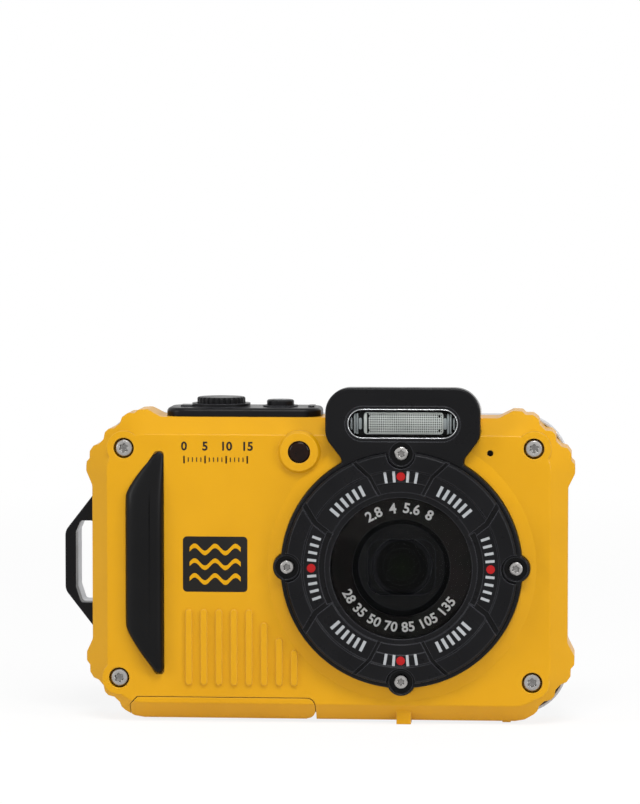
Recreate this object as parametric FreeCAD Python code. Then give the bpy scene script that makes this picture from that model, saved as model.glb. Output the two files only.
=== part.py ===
import FreeCAD, Part
import math
import os

V = FreeCAD.Vector

# Rugged compact camera, millimetres, +Z up, lens towards -Y, grip side at -X.
# The origin lies under the middle of the camera, on the surface that it stands on.

# Body and its two housings
BODY_WIDTH = 106.1          # between the flat sides
BODY_X = 2.3                # middle of the flat sides
BODY_BASE = 0.71            # underside above the resting surface
BODY_HEIGHT = 67.45         # underside to flat top
FACE_Y = -9.75              # flat front face
SPLIT_Y = 6.0               # joint between front and rear housing
BACK_Y = 12.9               # flat back
WALL = 1.9
BEVEL_WIDTH = 3.8           # front bevel, across
BEVEL_DEPTH = 3.6           # front bevel, front to back
BUMPER_RADIUS = 13.5        # corner radius of the block behind the teeth
LOBE_HEIGHT = 1.55          # bumper lobes stand this far out of the flats
BOTTOM_STEP = 2.16          # lower bumper pattern sits this far above the underside
CAVITY_RADIUS = 10.0
BACK_ROUND = 1.6            # rounded rear edge
BACK_CORNER = 11.0
FACE_ROUND = 0.6            # softened front edge

# Teeth of a bumper corner, from the diagonal to the flat: along, inwards, rounding
TEETH = ((3.6, 2.8, 0.45), (5.05, 2.6, 0.4), (6.25, 1.45, 0.35), (6.6, 0.18, 0.5),
         (7.85, -0.72, 0.45), (9.45, -0.72, 0.4))
LOBE = ((10.3, -LOBE_HEIGHT, 0.7), (12.3, -LOBE_HEIGHT, 1.0), (15.4, 0.0, 2.0))
HEEL = ((3.6, 2.8, 0.45), (5.05, 2.6, 0.4), (6.25, 1.45, 0.35), (6.6, 0.25, 0.4),
        (7.4, -0.56, 0.5), (9.4, -1.76, 0.8), (11.6, -BOTTOM_STEP, 0.8))

# Corner screws: places, and the one screw size
CORNER_SCREWS = ((-43.22, 61.37), (47.86, 61.67), (-44.39, 10.0), (47.61, 9.74))
CORNER_BOSS_RADIUS = 3.8
SCREW_HEAD_RADIUS = 2.05
SCREW_HEAD_DEPTH = 1.5
SCREW_SHANK_RADIUS = 1.0
SCREW_LENGTH = 17.6
SCREW_SINK = 0.25           # head lies this far below the boss
SCREW_GAP = 0.25            # round the head
COLUMN_WALL = 0.6           # column round a corner screw's head
SHANK_GAP = 0.1
DRIVE_RADIUS = 1.0          # six-lobe drive recess
DRIVE_DEPTH = 0.9

# Lens axis and front bezel with its flash hood
LENS_X = 18.68
LENS_Z = 35.27
BEZEL_RADIUS = 26.7
BEZEL_FRONT = -12.4
SEAT_DEPTH = 1.5            # bezel seat below the front face
SEAT_LAND = 4.7             # width of that seat
SEAT_BACKING = 2.0          # wall behind the bezel seat
BACKING_EDGE = 1.0          # that wall reaches this far past the bezel
HOUSING_EDGE = 0.5          # softened front edge of bezel and hood
EAR_INSET = 1.4             # bezel screw inside the bezel's round edge
EAR_RADIUS = 3.1
EAR_WELL = 2.6              # dark well round a bezel screw
EAR_WELL_DEPTH = 1.5
BEZEL_SCREW_HEAD = 1.6
BEZEL_SCREW_HEAD_DEPTH = 1.1
BEZEL_SCREW_SHANK = 0.7
BEZEL_SCREW_LENGTH = 4.6
HOOD_X = 18.98
HOOD_HALF_WIDTH = 17.1
HOOD_CREST = 7.9            # hood above the middle of the flash
HOOD_ROUND = 7.4
WAIST_RISE = 4.66           # hood starts to narrow this far above its neck
NECK_ANGLE = 25.44          # neck on the bezel's round edge, from the top of the lens
NECK_SHOULDER = 2.0         # neck outside the bezel's round edge there
NECK_ROUND = 2.0
WAIST_ROUND = 5.0
HUMP_STEP = 0.35            # hump behind the hood is this much smaller
HUMP_FALL = 0.09            # its top falls this much per millimetre towards the back
HUMP_NARROW = 0.03          # and the front housing's sides close in this much
HUMP_ROUND = 6.0            # top corners of the hump on the rear housing
HUMP_BACK = 11.6
COLLAR_WIDTH = 3.1          # sloped collar round the bezel
COLLAR_RISE = 0.9
FIT = 0.1                   # clearance of pieces that are seated in each other

# Lens ring and window
RING_MARGIN = 1.0           # bezel outside the ring
RING_FRONT = -13.75
RING_BACK = -9.6
RIM_WIDTH = 4.1             # raised outer rim
SHOULDER_SLOPE = 0.3
RIM_SLOPE = 0.15
TICK_STEP = 0.45            # tick zone lies this far behind the rim
TRENCH_OUTER = 18.2         # deep crescents left and right of the window
TRENCH_SPAN = 53.0
TRENCH_DEPTH = 1.35
WINDOW_RADIUS = 15.7
WINDOW_FRONT = -12.75
WINDOW_THICKNESS = 1.0
MASK_THICKNESS = 0.5
RING_BORE = 15.0
GROOVE_DEPTH = 0.5          # below the tick zone
# Cranked grooves between the pads: width, then degrees from the top at rim, crank and window
GROOVES = ((0.8, 24.8, 18.8, 16.4), (1.2, 55.4, 62.2, 65.0))
GROOVE_CRANK = 21.4         # radius where a groove bends
PLATE_RADIUS = 19.2         # the upper and lower pads end here, a step above the window
PLATE_STEP = 0.25
MASK_OPENING_WIDTH = 14.9
MASK_OPENING_HEIGHT = 12.3
MASK_OPENING_ROUND = 3.2
RIM_RADIUS = 16.9
RIM_SINK = 0.8              # inner rim behind the front
RING_CHAMFER = 0.5

# Flash
FLASH_LIFT = 5.25           # its middle above the bezel's round edge
FLASH_LENGTH = 24.7
FLASH_HEIGHT = 7.05
FLASH_TRIM = 0.4            # width of the trim round the window
FLASH_TRIM_PROUD = 0.15
FLASH_GLASS = 1.0
REFLECTOR_LENGTH = 17.4
REFLECTOR_HEIGHT = 5.1
REFLECTOR_DEPTH = 4.4
REFLECTOR_WALL = 0.6
TUBE_RADIUS = 0.75
TUBE_SEAT = 0.3             # length held in each end wall of the reflector
CAPACITOR_RADIUS = 3.6
CAPACITOR_LENGTH = 30.0
CAPACITOR_X = 0.6

# Small openings of the front face
AF_X = -4.02
AF_Z = 60.75
AF_LENS_RADIUS = 2.5
AF_BOSS_RADIUS = 4.2
AF_FOOT_RADIUS = 4.8
AF_BOSS_RISE = 1.1
MIC_MARGIN = 5.3            # outside the bezel's round edge
MIC_ANGLE = 37.6            # from the top of the lens
MIC_HOLE_RADIUS = 0.7
MIC_RADIUS = 1.8
MIC_DEPTH = 1.5
MIC_RIM = 0.6               # rim that holds it behind the wall
LAMP_RADIUS = 1.5           # lamp chip behind the lamp lens
LAMP_LENGTH = 3.2
LAMP_FIT = 0.08

# Grip pad: straight inner edge, arched outer edge
GRIP_INNER_X = -34.35
GRIP_OUTER_X = -42.7
GRIP_BOTTOM = 11.0
GRIP_TOP = 60.64
GRIP_STRAIGHT_BOTTOM = 21.7
GRIP_STRAIGHT_TOP = 50.9
GRIP_TIP_WIDTH = 1.7
GRIP_PROUD = 2.3
GRIP_SEAT = 0.7
GRIP_CROWN_RADIUS = 16.0

# Raised finger ribs
RIB_FIRST_X = -28.7
RIB_PITCH = 3.36
RIB_WIDTH = 1.4
RIB_BOTTOM = 8.62
RIB_TOPS = (25.5, 25.5, 25.5, 25.5, 25.5, 22.6, 19.2, 16.5)
RIB_RISE = 0.5

# Feet under the lens axis, beside the tripod bush
FOOT_X = 19.1
FOOT_WIDTH = 3.2
FOOT_TOP = 3.6
FOOT_LENGTH = 4.4
FOOT_FRONT = -8.2
REAR_FOOT_FRONT = 7.2
STUD_X = 41.9
STUD_WIDTH = 1.85
STUD_DROP = 0.3
STUD_FRONT = -6.0
STUD_LENGTH = 2.2
TRIPOD_Y = 0.4
BUSH_RADIUS = 3.9
BUSH_HEIGHT = 6.2
BUSH_FLANGE_RADIUS = 4.5
BUSH_FLANGE = 1.0
THREAD_RADIUS = 2.55        # bore of a 1/4 inch, 20 turn thread
THREAD_DEPTH = 5.5

# Battery door, hinged at its right end about an axis along Y
DOOR_LEFT = -42.0
DOOR_RIGHT = -0.6
DOOR_TOP = 5.75
DOOR_REAR = 4.2
DOOR_FLOOR = 2.5
DOOR_GAP = 0.15
DOOR_CHAMFER = 1.75
DOOR_CORNER = 1.9
DOOR_FRAME = 2.0            # shelf and walls of the housing round the door
HINGE_X = -2.55
HINGE_Z = 2.75
PIN_RADIUS = 0.75
PIN_GAP = 0.05
PIN_END = 1.3               # length of pin held behind the door
PIN_FRONT = -5.6
KNUCKLE_RADIUS = 1.9
LUG_FRONT = -3.6
LUG_WIDTH = 3.0
LUG_GAP = 0.2
PLUG_LEFT = -39.3
PLUG_RIGHT = -7.2
PLUG_FRONT = -6.2
PLUG_REAR = 3.0
PLUG_TOP = 7.0
PLUG_GAP = 0.9              # from plug to the bore that it closes
GASKET_WIDTH = 0.6
GASKET_HEIGHT = 1.1
SWING_GAP = 0.6             # extra room at the end far from the hinge

# Sliding lock in the door's underside
LATCH_X = -34.2
LATCH_Y = -0.9
LATCH_LENGTH = 6.0
LATCH_WIDTH = 3.6
LATCH_THICKNESS = 0.75
LATCH_SINK = 0.15
LATCH_TRAVEL = 2.2
LATCH_STEM = 3.0
LATCH_STEM_WIDTH = 1.6
TONGUE_HEIGHT = 0.9
TONGUE_WIDTH = 2.4
TONGUE_Z = 2.2
LATCH_GAP = 0.2
LATCH_RIBS = 4

# Battery, memory card and sockets inside the door
BATTERY_WIDTH = 31.0
BATTERY_DEPTH = 6.0
BATTERY_HEIGHT = 40.0
BATTERY_LEFT = -38.9
BATTERY_FRONT = -6.0
BATTERY_BOTTOM = 8.2
BAY_WALL = 0.8
BAY_FIT = 0.2
BAY_CLEARANCE = 0.3         # from the cage to the wall of the bezel seat
CARD_WIDTH = 24.0
CARD_HEIGHT = 32.0
CARD_DEPTH = 2.1
CARD_SHELL = 0.3
CARD_RIGHT = -7.4
CARD_FIT = 0.12
USB_WIDTH = 6.8
USB_DEPTH = 2.3
USB_HEIGHT = 5.0
USB_WALL = 0.35
USB_TONGUE = 0.7
CONTACTS = 3
CONTACT_WIDTH = 1.6
CONTACT_PITCH = 3.6
CONTACT_HEIGHT = 1.2

# Control plate with its two buttons
PLATE_LEFT = -34.4
PLATE_RIGHT = 0.2
PLATE_FRONT = -5.6
PLATE_REAR = 9.4
PLATE_THICKNESS = 1.95
PLATE_CORNER = 4.5
PLATE_EDGE = 1.0
PLATE_FLOOR = 0.95          # plate left under a button
BUTTON_Y = 1.6
BUTTON_GAP = 0.2
SHUTTER_X = -22.5
SHUTTER_BASE_RADIUS = 6.55
SHUTTER_BASE_RISE = 0.8
SHUTTER_RADIUS = 5.4
SHUTTER_TOP = 72.27
SHUTTER_TRAVEL = 0.9
SHUTTER_TEETH = 28
SHUTTER_TOOTH_DEPTH = 0.35
POWER_X = -9.17
POWER_BASE_RADIUS = 4.0
POWER_BASE_RISE = 0.35
POWER_RADIUS = 3.05
POWER_TOP = 71.7
POWER_TRAVEL = 0.5
STEM_RADIUS = 1.4
STEM_BOTTOM = 63.7
STEM_GAP = 0.08
GLAND_RADIUS = 3.2
GLAND_LENGTH = 2.2
ORING_RADIUS = 0.45
SWITCH_RADIUS = 1.6
SWITCH_RISE = 0.5
SWITCH_BOARD = 0.8
SWITCH_BOARD_LEFT = 5.0     # board past the shutter's axis
SWITCH_BOARD_RIGHT = 4.0    # board past the power button's axis
SWITCH_BOARD_FRONT = 4.0    # board in front of both axes
PLATE_PIPS = ((-31.5, -28.6), (-2.8, -1.4))     # raised marks at the plate's ends
PIP_RISE = 0.35
PIP_LENGTH = 5.0

# Strap bar: silver bracket behind, black cover in front
BAR_OUTER_X = -57.7
BAR_THICKNESS = 2.4
BAR_ROOT = 0.55             # thin upright beside the housing
BAR_TOP = 50.9
BAR_BOTTOM = 19.6
BAR_STRAIGHT_TOP = 41.95
BAR_STRAIGHT_BOTTOM = 28.55
SLOT_TOP = 44.27
SLOT_BOTTOM = 25.73
SLOT_STRAIGHT_TOP = 41.75    # outer side of the slot is upright between these
SLOT_STRAIGHT_BOTTOM = 29.2
SLOT_CHAMFER = 1.1
SLOT_ROUND = 0.8
SLOT_INNER_ROUND = 0.6
BAR_FRONT = -0.5
BAR_COVER_BACK = 3.0
BAR_BACK = 9.0
TAB_DEPTH = 1.3             # tabs that hook into the housing wall
TAB_HEIGHT = 3.0
TAB_LENGTH = 2.2

# Rear side: display and keys
LCD_X = 20.0
LCD_Z = 34.6
LCD_WINDOW_WIDTH = 61.0
LCD_WINDOW_HEIGHT = 46.0
LCD_WINDOW_THICKNESS = 1.2
LCD_WINDOW_PROUD = 0.35
LCD_LEDGE = 2.0
LCD_RIM = 2.0
LCD_RIM_RISE = 0.85
LCD_ROUND = 2.0
LCD_PANEL_MARGIN = 0.6
LCD_PANEL_DEPTH = 2.2
KEY_X = -28.0               # middle of the key field
KEY_PAD_Z = 30.0
KEY_GAP = 0.2
KEY_PROUD = 0.6
KEY_EDGE = 0.3
KEY_FLANGE = 0.4
KEY_REST_GAP = 0.1
KEY_FLANGE_DEPTH = 0.6
KEY_TRAVEL = 0.4
OK_RADIUS = 4.2
PAD_INNER = 5.2
PAD_OUTER = 9.4
PAD_SPAN = 76.0
ROUND_KEY_RADIUS = 2.9
ROUND_KEYS = {"menu_key": (-36.5, 14.8), "delete_key": (-19.5, 14.8),
              "movie_key": (-36.5, 45.2), "playback_key": (-19.5, 45.2)}
ZOOM_KEYS = {"zoom_wide_key": (-34.2, 56.3), "zoom_tele_key": (-21.8, 56.3)}
ZOOM_KEY_WIDTH = 9.6
ZOOM_KEY_HEIGHT = 6.0
ZOOM_KEY_ROUND = 1.6
SHEET_THICKNESS = 0.5
KEY_BOARD_THICKNESS = 0.8
DOME_RADIUS = 2.0
DOME_RISE = 0.3
KEY_BOARD_LEFT = -40.4
KEY_BOARD_RIGHT = -14.4
KEY_BOARD_BOTTOM = 11.0
KEY_BOARD_TOP = 60.2
THUMB_RIBS = 6
THUMB_RIB_PITCH = 3.2
THUMB_RIB_LENGTH = 5.5
THUMB_RIB_WIDTH = 1.3
THUMB_X = -45.0
THUMB_Z = 27.0
SPEAKER_GAP = 0.16          # below the top wall
SPEAKER_RADIUS = 4.2
SPEAKER_DEPTH = 2.6
GRILLE_SLOTS = 5
GRILLE_PITCH = 1.6
GRILLE_LENGTH = 3.6
GRILLE_WIDTH = 0.8

# Folded optics behind the window: light turns down at the prism
BARREL_HALF_WIDTH = 10.5
BARREL_CLEARANCE = 0.15     # behind the wall of the bezel seat
BARREL_GAP = 0.1            # barrel to chassis
BARREL_BOTTOM = 8.2
BARREL_TOP = 43.0
BARREL_FLANGE_RADIUS = 14.6
MASK_BORE = 10.8
DISH_DEPTH = 1.3
SQUARE_DEPTH = 1.5
ELEMENT_RADIUS = 6.6
ELEMENT_THICKNESS = 2.2
ELEMENT_DOME = 0.9
PRISM_LEG = 9.4
PRISM_WIDTH = 10.0
CHAMBER_HALF_WIDTH = 8.2
ROD_REACH = 6.6
ROD_RADIUS = 0.5
ROD_GAP = 0.05
ROD_HOLD = 1.6
GROUP_GAP = 0.3
GROUP_LENS_RADIUS = 3.6
ZOOM_GROUP_Z = 21.5
ZOOM_GROUP_HEIGHT = 3.2
FOCUS_GROUP_Z = 13.8
FOCUS_GROUP_HEIGHT = 2.4
SENSOR_THICKNESS = 1.3

# Inner frame and boards
CHASSIS_THICKNESS = 0.8
CHASSIS_GAP = 0.2           # in front of the housing joint
CHASSIS_EDGE = 0.6
CHASSIS_WINDOWS = (18.0, 31.0, 44.0)
KEY_POSTS = ((-38.4, 22.0), (-16.4, 22.0), (-38.4, 50.8), (-16.4, 50.8))
POST_RADIUS = 1.5
BOARD_THICKNESS = 0.8
BOARD_GAP = 0.6             # from joint to board
CHIP_HEIGHT = 0.9
CHIPS = ((4.0, 22.0, 12.0), (22.0, 22.0, 9.0), (36.0, 20.0, 7.0), (10.0, 44.0, 8.0),
         (30.0, 44.0, 10.0))    # centre x, centre z, side
SEAL_INSET = 0.55
SEAL_WIDTH = 0.8
SEAL_DEPTH = 0.9

# Places that follow from the sizes above
LEFT = BODY_X - BODY_WIDTH / 2
RIGHT = BODY_X + BODY_WIDTH / 2
TOP = BODY_BASE + BODY_HEIGHT
SEAT_Y = FACE_Y + SEAT_DEPTH
EAR_REACH = BEZEL_RADIUS - EAR_INSET
RING_RADIUS = BEZEL_RADIUS - RING_MARGIN
COLLAR_RADIUS = BEZEL_RADIUS + COLLAR_WIDTH
SEAT_BORE = BEZEL_RADIUS - SEAT_LAND
NECK_HALF = BEZEL_RADIUS * math.sin(math.radians(NECK_ANGLE)) + NECK_SHOULDER
HOOD_NECK = LENS_Z + BEZEL_RADIUS * math.cos(math.radians(NECK_ANGLE))
HOOD_WAIST = HOOD_NECK + WAIST_RISE
FLASH_Z = LENS_Z + BEZEL_RADIUS + FLASH_LIFT
HOOD_TOP = FLASH_Z + HOOD_CREST
MIC_X = LENS_X + (BEZEL_RADIUS + MIC_MARGIN) * math.sin(math.radians(MIC_ANGLE))
MIC_Z = LENS_Z + (BEZEL_RADIUS + MIC_MARGIN) * math.cos(math.radians(MIC_ANGLE))
INNER_BACK = BACK_Y - WALL
SPEAKER_Z = TOP - WALL - SPEAKER_GAP - SPEAKER_RADIUS
HEAD_SEAT = FACE_Y + SCREW_SINK + SCREW_HEAD_DEPTH
COLUMN_RADIUS = SCREW_HEAD_RADIUS + SCREW_GAP + COLUMN_WALL
DISPLAY_LEDGE_Y = BACK_Y + LCD_WINDOW_PROUD - LCD_WINDOW_THICKNESS


def rounded_wire(points, place):
    """Closed outline through corners (a, b, rounding); place puts (a, b) in space."""
    edges = []
    last_end = None
    first_start = None
    for i, (a, b, radius) in enumerate(points):
        corner = V(a, b, 0)
        next_point = points[(i + 1) % len(points)]
        before = V(points[i - 1][0], points[i - 1][1], 0) - corner
        after = V(next_point[0], next_point[1], 0) - corner
        half = before.getAngle(after) / 2
        before_share = 0.5 if points[i - 1][2] else 1.0
        after_share = 0.5 if next_point[2] else 1.0
        reach = min(radius / math.tan(half), before.Length * before_share, after.Length * after_share)
        radius = reach * math.tan(half)
        before.normalize()
        after.normalize()
        start = corner + before * reach
        end = corner + after * reach
        if last_end is not None and last_end.distanceToPoint(start) > 1e-6:
            edges.append(Part.makeLine(place(last_end.x, last_end.y), place(start.x, start.y)))
        if radius > 0:
            inwards = (before + after).normalize()
            middle = corner + inwards * (radius / math.sin(half) - radius)
            arc = Part.Arc(place(start.x, start.y), place(middle.x, middle.y), place(end.x, end.y))
            edges.append(arc.toShape())
        first_start = first_start or start
        last_end = end
    if last_end.distanceToPoint(first_start) > 1e-6:
        edges.append(Part.makeLine(place(last_end.x, last_end.y), place(first_start.x, first_start.y)))
    return Part.Wire(edges)


def wire_y(points, y):
    return rounded_wire(points, lambda x, z: V(x, y, z))


def extrude_y(points, front, back):
    return Part.Face(wire_y(points, front)).extrude(V(0, back - front, 0))


def extrude_z(points, low, high):
    wire = rounded_wire(points, lambda x, y: V(x, y, low))
    return Part.Face(wire).extrude(V(0, 0, high - low))


def disc_y(x, z, radius, front, back):
    return Part.makeCylinder(radius, back - front, V(x, front, z), V(0, 1, 0))


def disc_z(x, y, radius, low, high):
    return Part.makeCylinder(radius, high - low, V(x, y, low))


def cone_y(x, z, front_radius, back_radius, front, back):
    return Part.makeCone(front_radius, back_radius, back - front, V(x, front, z), V(0, 1, 0))


def block(x0, x1, y0, y1, z0, z1):
    return Part.makeBox(x1 - x0, y1 - y0, z1 - z0, V(x0, y0, z0))


def rectangle(a, b, width, height, radius):
    """Corners of a rounded rectangle about (a, b)."""
    return [(a - width / 2, b - height / 2, radius), (a - width / 2, b + height / 2, radius),
            (a + width / 2, b + height / 2, radius), (a + width / 2, b - height / 2, radius)]


def between(a0, a1, b0, b1, radius):
    """Corners of a rounded rectangle between two sides, low and high."""
    return rectangle((a0 + a1) / 2, (b0 + b1) / 2, a1 - a0, b1 - b0, radius)


def union(shapes):
    return shapes[0].multiFuse(shapes[1:]).removeSplitter()


def edges_at(shape, axis, value):
    """Edges that lie wholly in one plane square to an axis (0, 1, 2)."""
    found = []
    for edge in shape.Edges:
        box = edge.BoundBox
        low = (box.XMin, box.YMin, box.ZMin)[axis]
        high = (box.XMax, box.YMax, box.ZMax)[axis]
        if abs(low - value) < 1e-4 and abs(high - value) < 1e-4:
            found.append(edge)
    return found


def bumper_corner(x, z, to_x, to_z, across, upright):
    """Teeth of one corner, first along its level edge, then up its side."""
    level = [(x + to_x * along, z + to_z * inwards, r) for along, inwards, r in across]
    side = [(x + to_x * inwards, z + to_z * along, r) for along, inwards, r in upright]
    return level[::-1] + side


def body_outline():
    heel_z = BODY_BASE + BOTTOM_STEP
    lobes = TEETH + LOBE
    return (bumper_corner(LEFT, heel_z, 1, 1, HEEL, lobes)
            + bumper_corner(LEFT, TOP, 1, -1, lobes, lobes)[::-1]
            + bumper_corner(RIGHT, TOP, -1, -1, lobes, lobes)
            + bumper_corner(RIGHT, heel_z, -1, 1, HEEL, lobes)[::-1])


def bevelled_block(left, right, low, high, radius, face, back):
    """Rounded block whose front edge carries the housing's bevel all round."""
    grow = max(LEFT - left, 0)
    width = BEVEL_WIDTH + grow
    depth = BEVEL_DEPTH * width / BEVEL_WIDTH
    full = between(left, right, low, high, radius)
    small = between(left + width, right - width, low + width, high - width, radius - width)
    sections = [wire_y(small, face), wire_y(full, face + depth), wire_y(full, back)]
    return Part.makeLoft(sections, True, True)


def front_body():
    """Front housing as a solid, before it is hollowed."""
    body = bevelled_block(LEFT - LOBE_HEIGHT, RIGHT + LOBE_HEIGHT, BODY_BASE - LOBE_HEIGHT,
                          TOP + LOBE_HEIGHT, BUMPER_RADIUS, FACE_Y, SPLIT_Y)
    body = body.makeFillet(FACE_ROUND, edges_at(body, 1, FACE_Y))
    return body.common(extrude_y(body_outline(), FACE_Y - 1, SPLIT_Y))


def hood_points(grow, drop=0, rounding=HOOD_ROUND):
    """Hood from the front; drop lowers its top."""
    half = HOOD_HALF_WIDTH + grow
    neck = NECK_HALF + grow
    side = [(neck, HOOD_NECK - HOOD_ROUND, 0), (neck, HOOD_NECK, NECK_ROUND),
            (half, HOOD_WAIST, WAIST_ROUND), (half, HOOD_TOP + grow - drop, rounding + grow)]
    left = [(HOOD_X - a, b, r) for a, b, r in side]
    right = [(HOOD_X + a, b, r) for a, b, r in side]
    return left + right[::-1]


def hump_points(grow, y):
    """Hump of the front housing at one depth; it falls and narrows to the back."""
    depth = y - SEAT_Y
    return hood_points(grow - HUMP_STEP - HUMP_NARROW * depth, HUMP_FALL * depth)


def front_hump(grow, front, back):
    return Part.makeLoft([wire_y(hump_points(grow, y), y) for y in (front, back)], True, True)


def rear_hump():
    wires = [wire_y(hood_points(-HUMP_STEP, HUMP_FALL * (y - SEAT_Y), HUMP_ROUND), y)
             for y in (SPLIT_Y, HUMP_BACK)]
    hump = Part.makeLoft(wires, True, True)
    return hump.makeFillet(BACK_ROUND, edges_at(hump, 1, HUMP_BACK))


def ear_places():
    """Bezel screws: right, bottom, left and top of the lens."""
    return [(LENS_X + EAR_REACH, LENS_Z), (LENS_X, LENS_Z - EAR_REACH),
            (LENS_X - EAR_REACH, LENS_Z), (LENS_X, LENS_Z + EAR_REACH)]


def bezel_blank(grow, front, back):
    pieces = [disc_y(LENS_X, LENS_Z, BEZEL_RADIUS + grow, front, back),
              extrude_y(hood_points(grow), front, back)]
    pieces += [disc_y(x, z, EAR_RADIUS + grow, front, back) for x, z in ear_places()[:3]]
    return union(pieces)


def flash_slot(grow, front, back):
    points = rectangle(HOOD_X, FLASH_Z, FLASH_LENGTH + 2 * grow, FLASH_HEIGHT + 2 * grow,
                       FLASH_HEIGHT / 2 + grow)
    return extrude_y(points, front, back)


def reflector_block(grow, front, back):
    length = REFLECTOR_LENGTH + 2 * REFLECTOR_WALL
    height = REFLECTOR_HEIGHT + 2 * REFLECTOR_WALL
    return extrude_y(rectangle(HOOD_X, FLASH_Z, length + 2 * grow, height + 2 * grow, 0.8),
                     front, back)


def door_outline(grow, knuckle):
    """Door seen from the front; the knuckle rounds its lower hinge end."""
    left = DOOR_LEFT - grow
    right = DOOR_RIGHT + grow
    top = DOOR_TOP + grow
    points = [(left, BODY_BASE - 1, 0), (left, DOOR_TOP - DOOR_CHAMFER, 0),
              (left + DOOR_CHAMFER, top, 0), (right, top, DOOR_CORNER)]
    if knuckle:
        points += [(right, HINGE_Z, 0), (HINGE_X + KNUCKLE_RADIUS, HINGE_Z, 0),
                   (HINGE_X + KNUCKLE_RADIUS, HINGE_Z - KNUCKLE_RADIUS, KNUCKLE_RADIUS),
                   (HINGE_X, HINGE_Z - KNUCKLE_RADIUS, 0), (HINGE_X, BODY_BASE - 1, 0)]
    else:
        points += [(right, BODY_BASE - 1, 0)]
    return points


def plug(grow_left, grow, low, high):
    points = between(PLUG_LEFT - grow_left, PLUG_RIGHT + grow, PLUG_FRONT - grow,
                     PLUG_REAR + grow, 1.0 + grow)
    return extrude_z(points, low, high)


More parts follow.
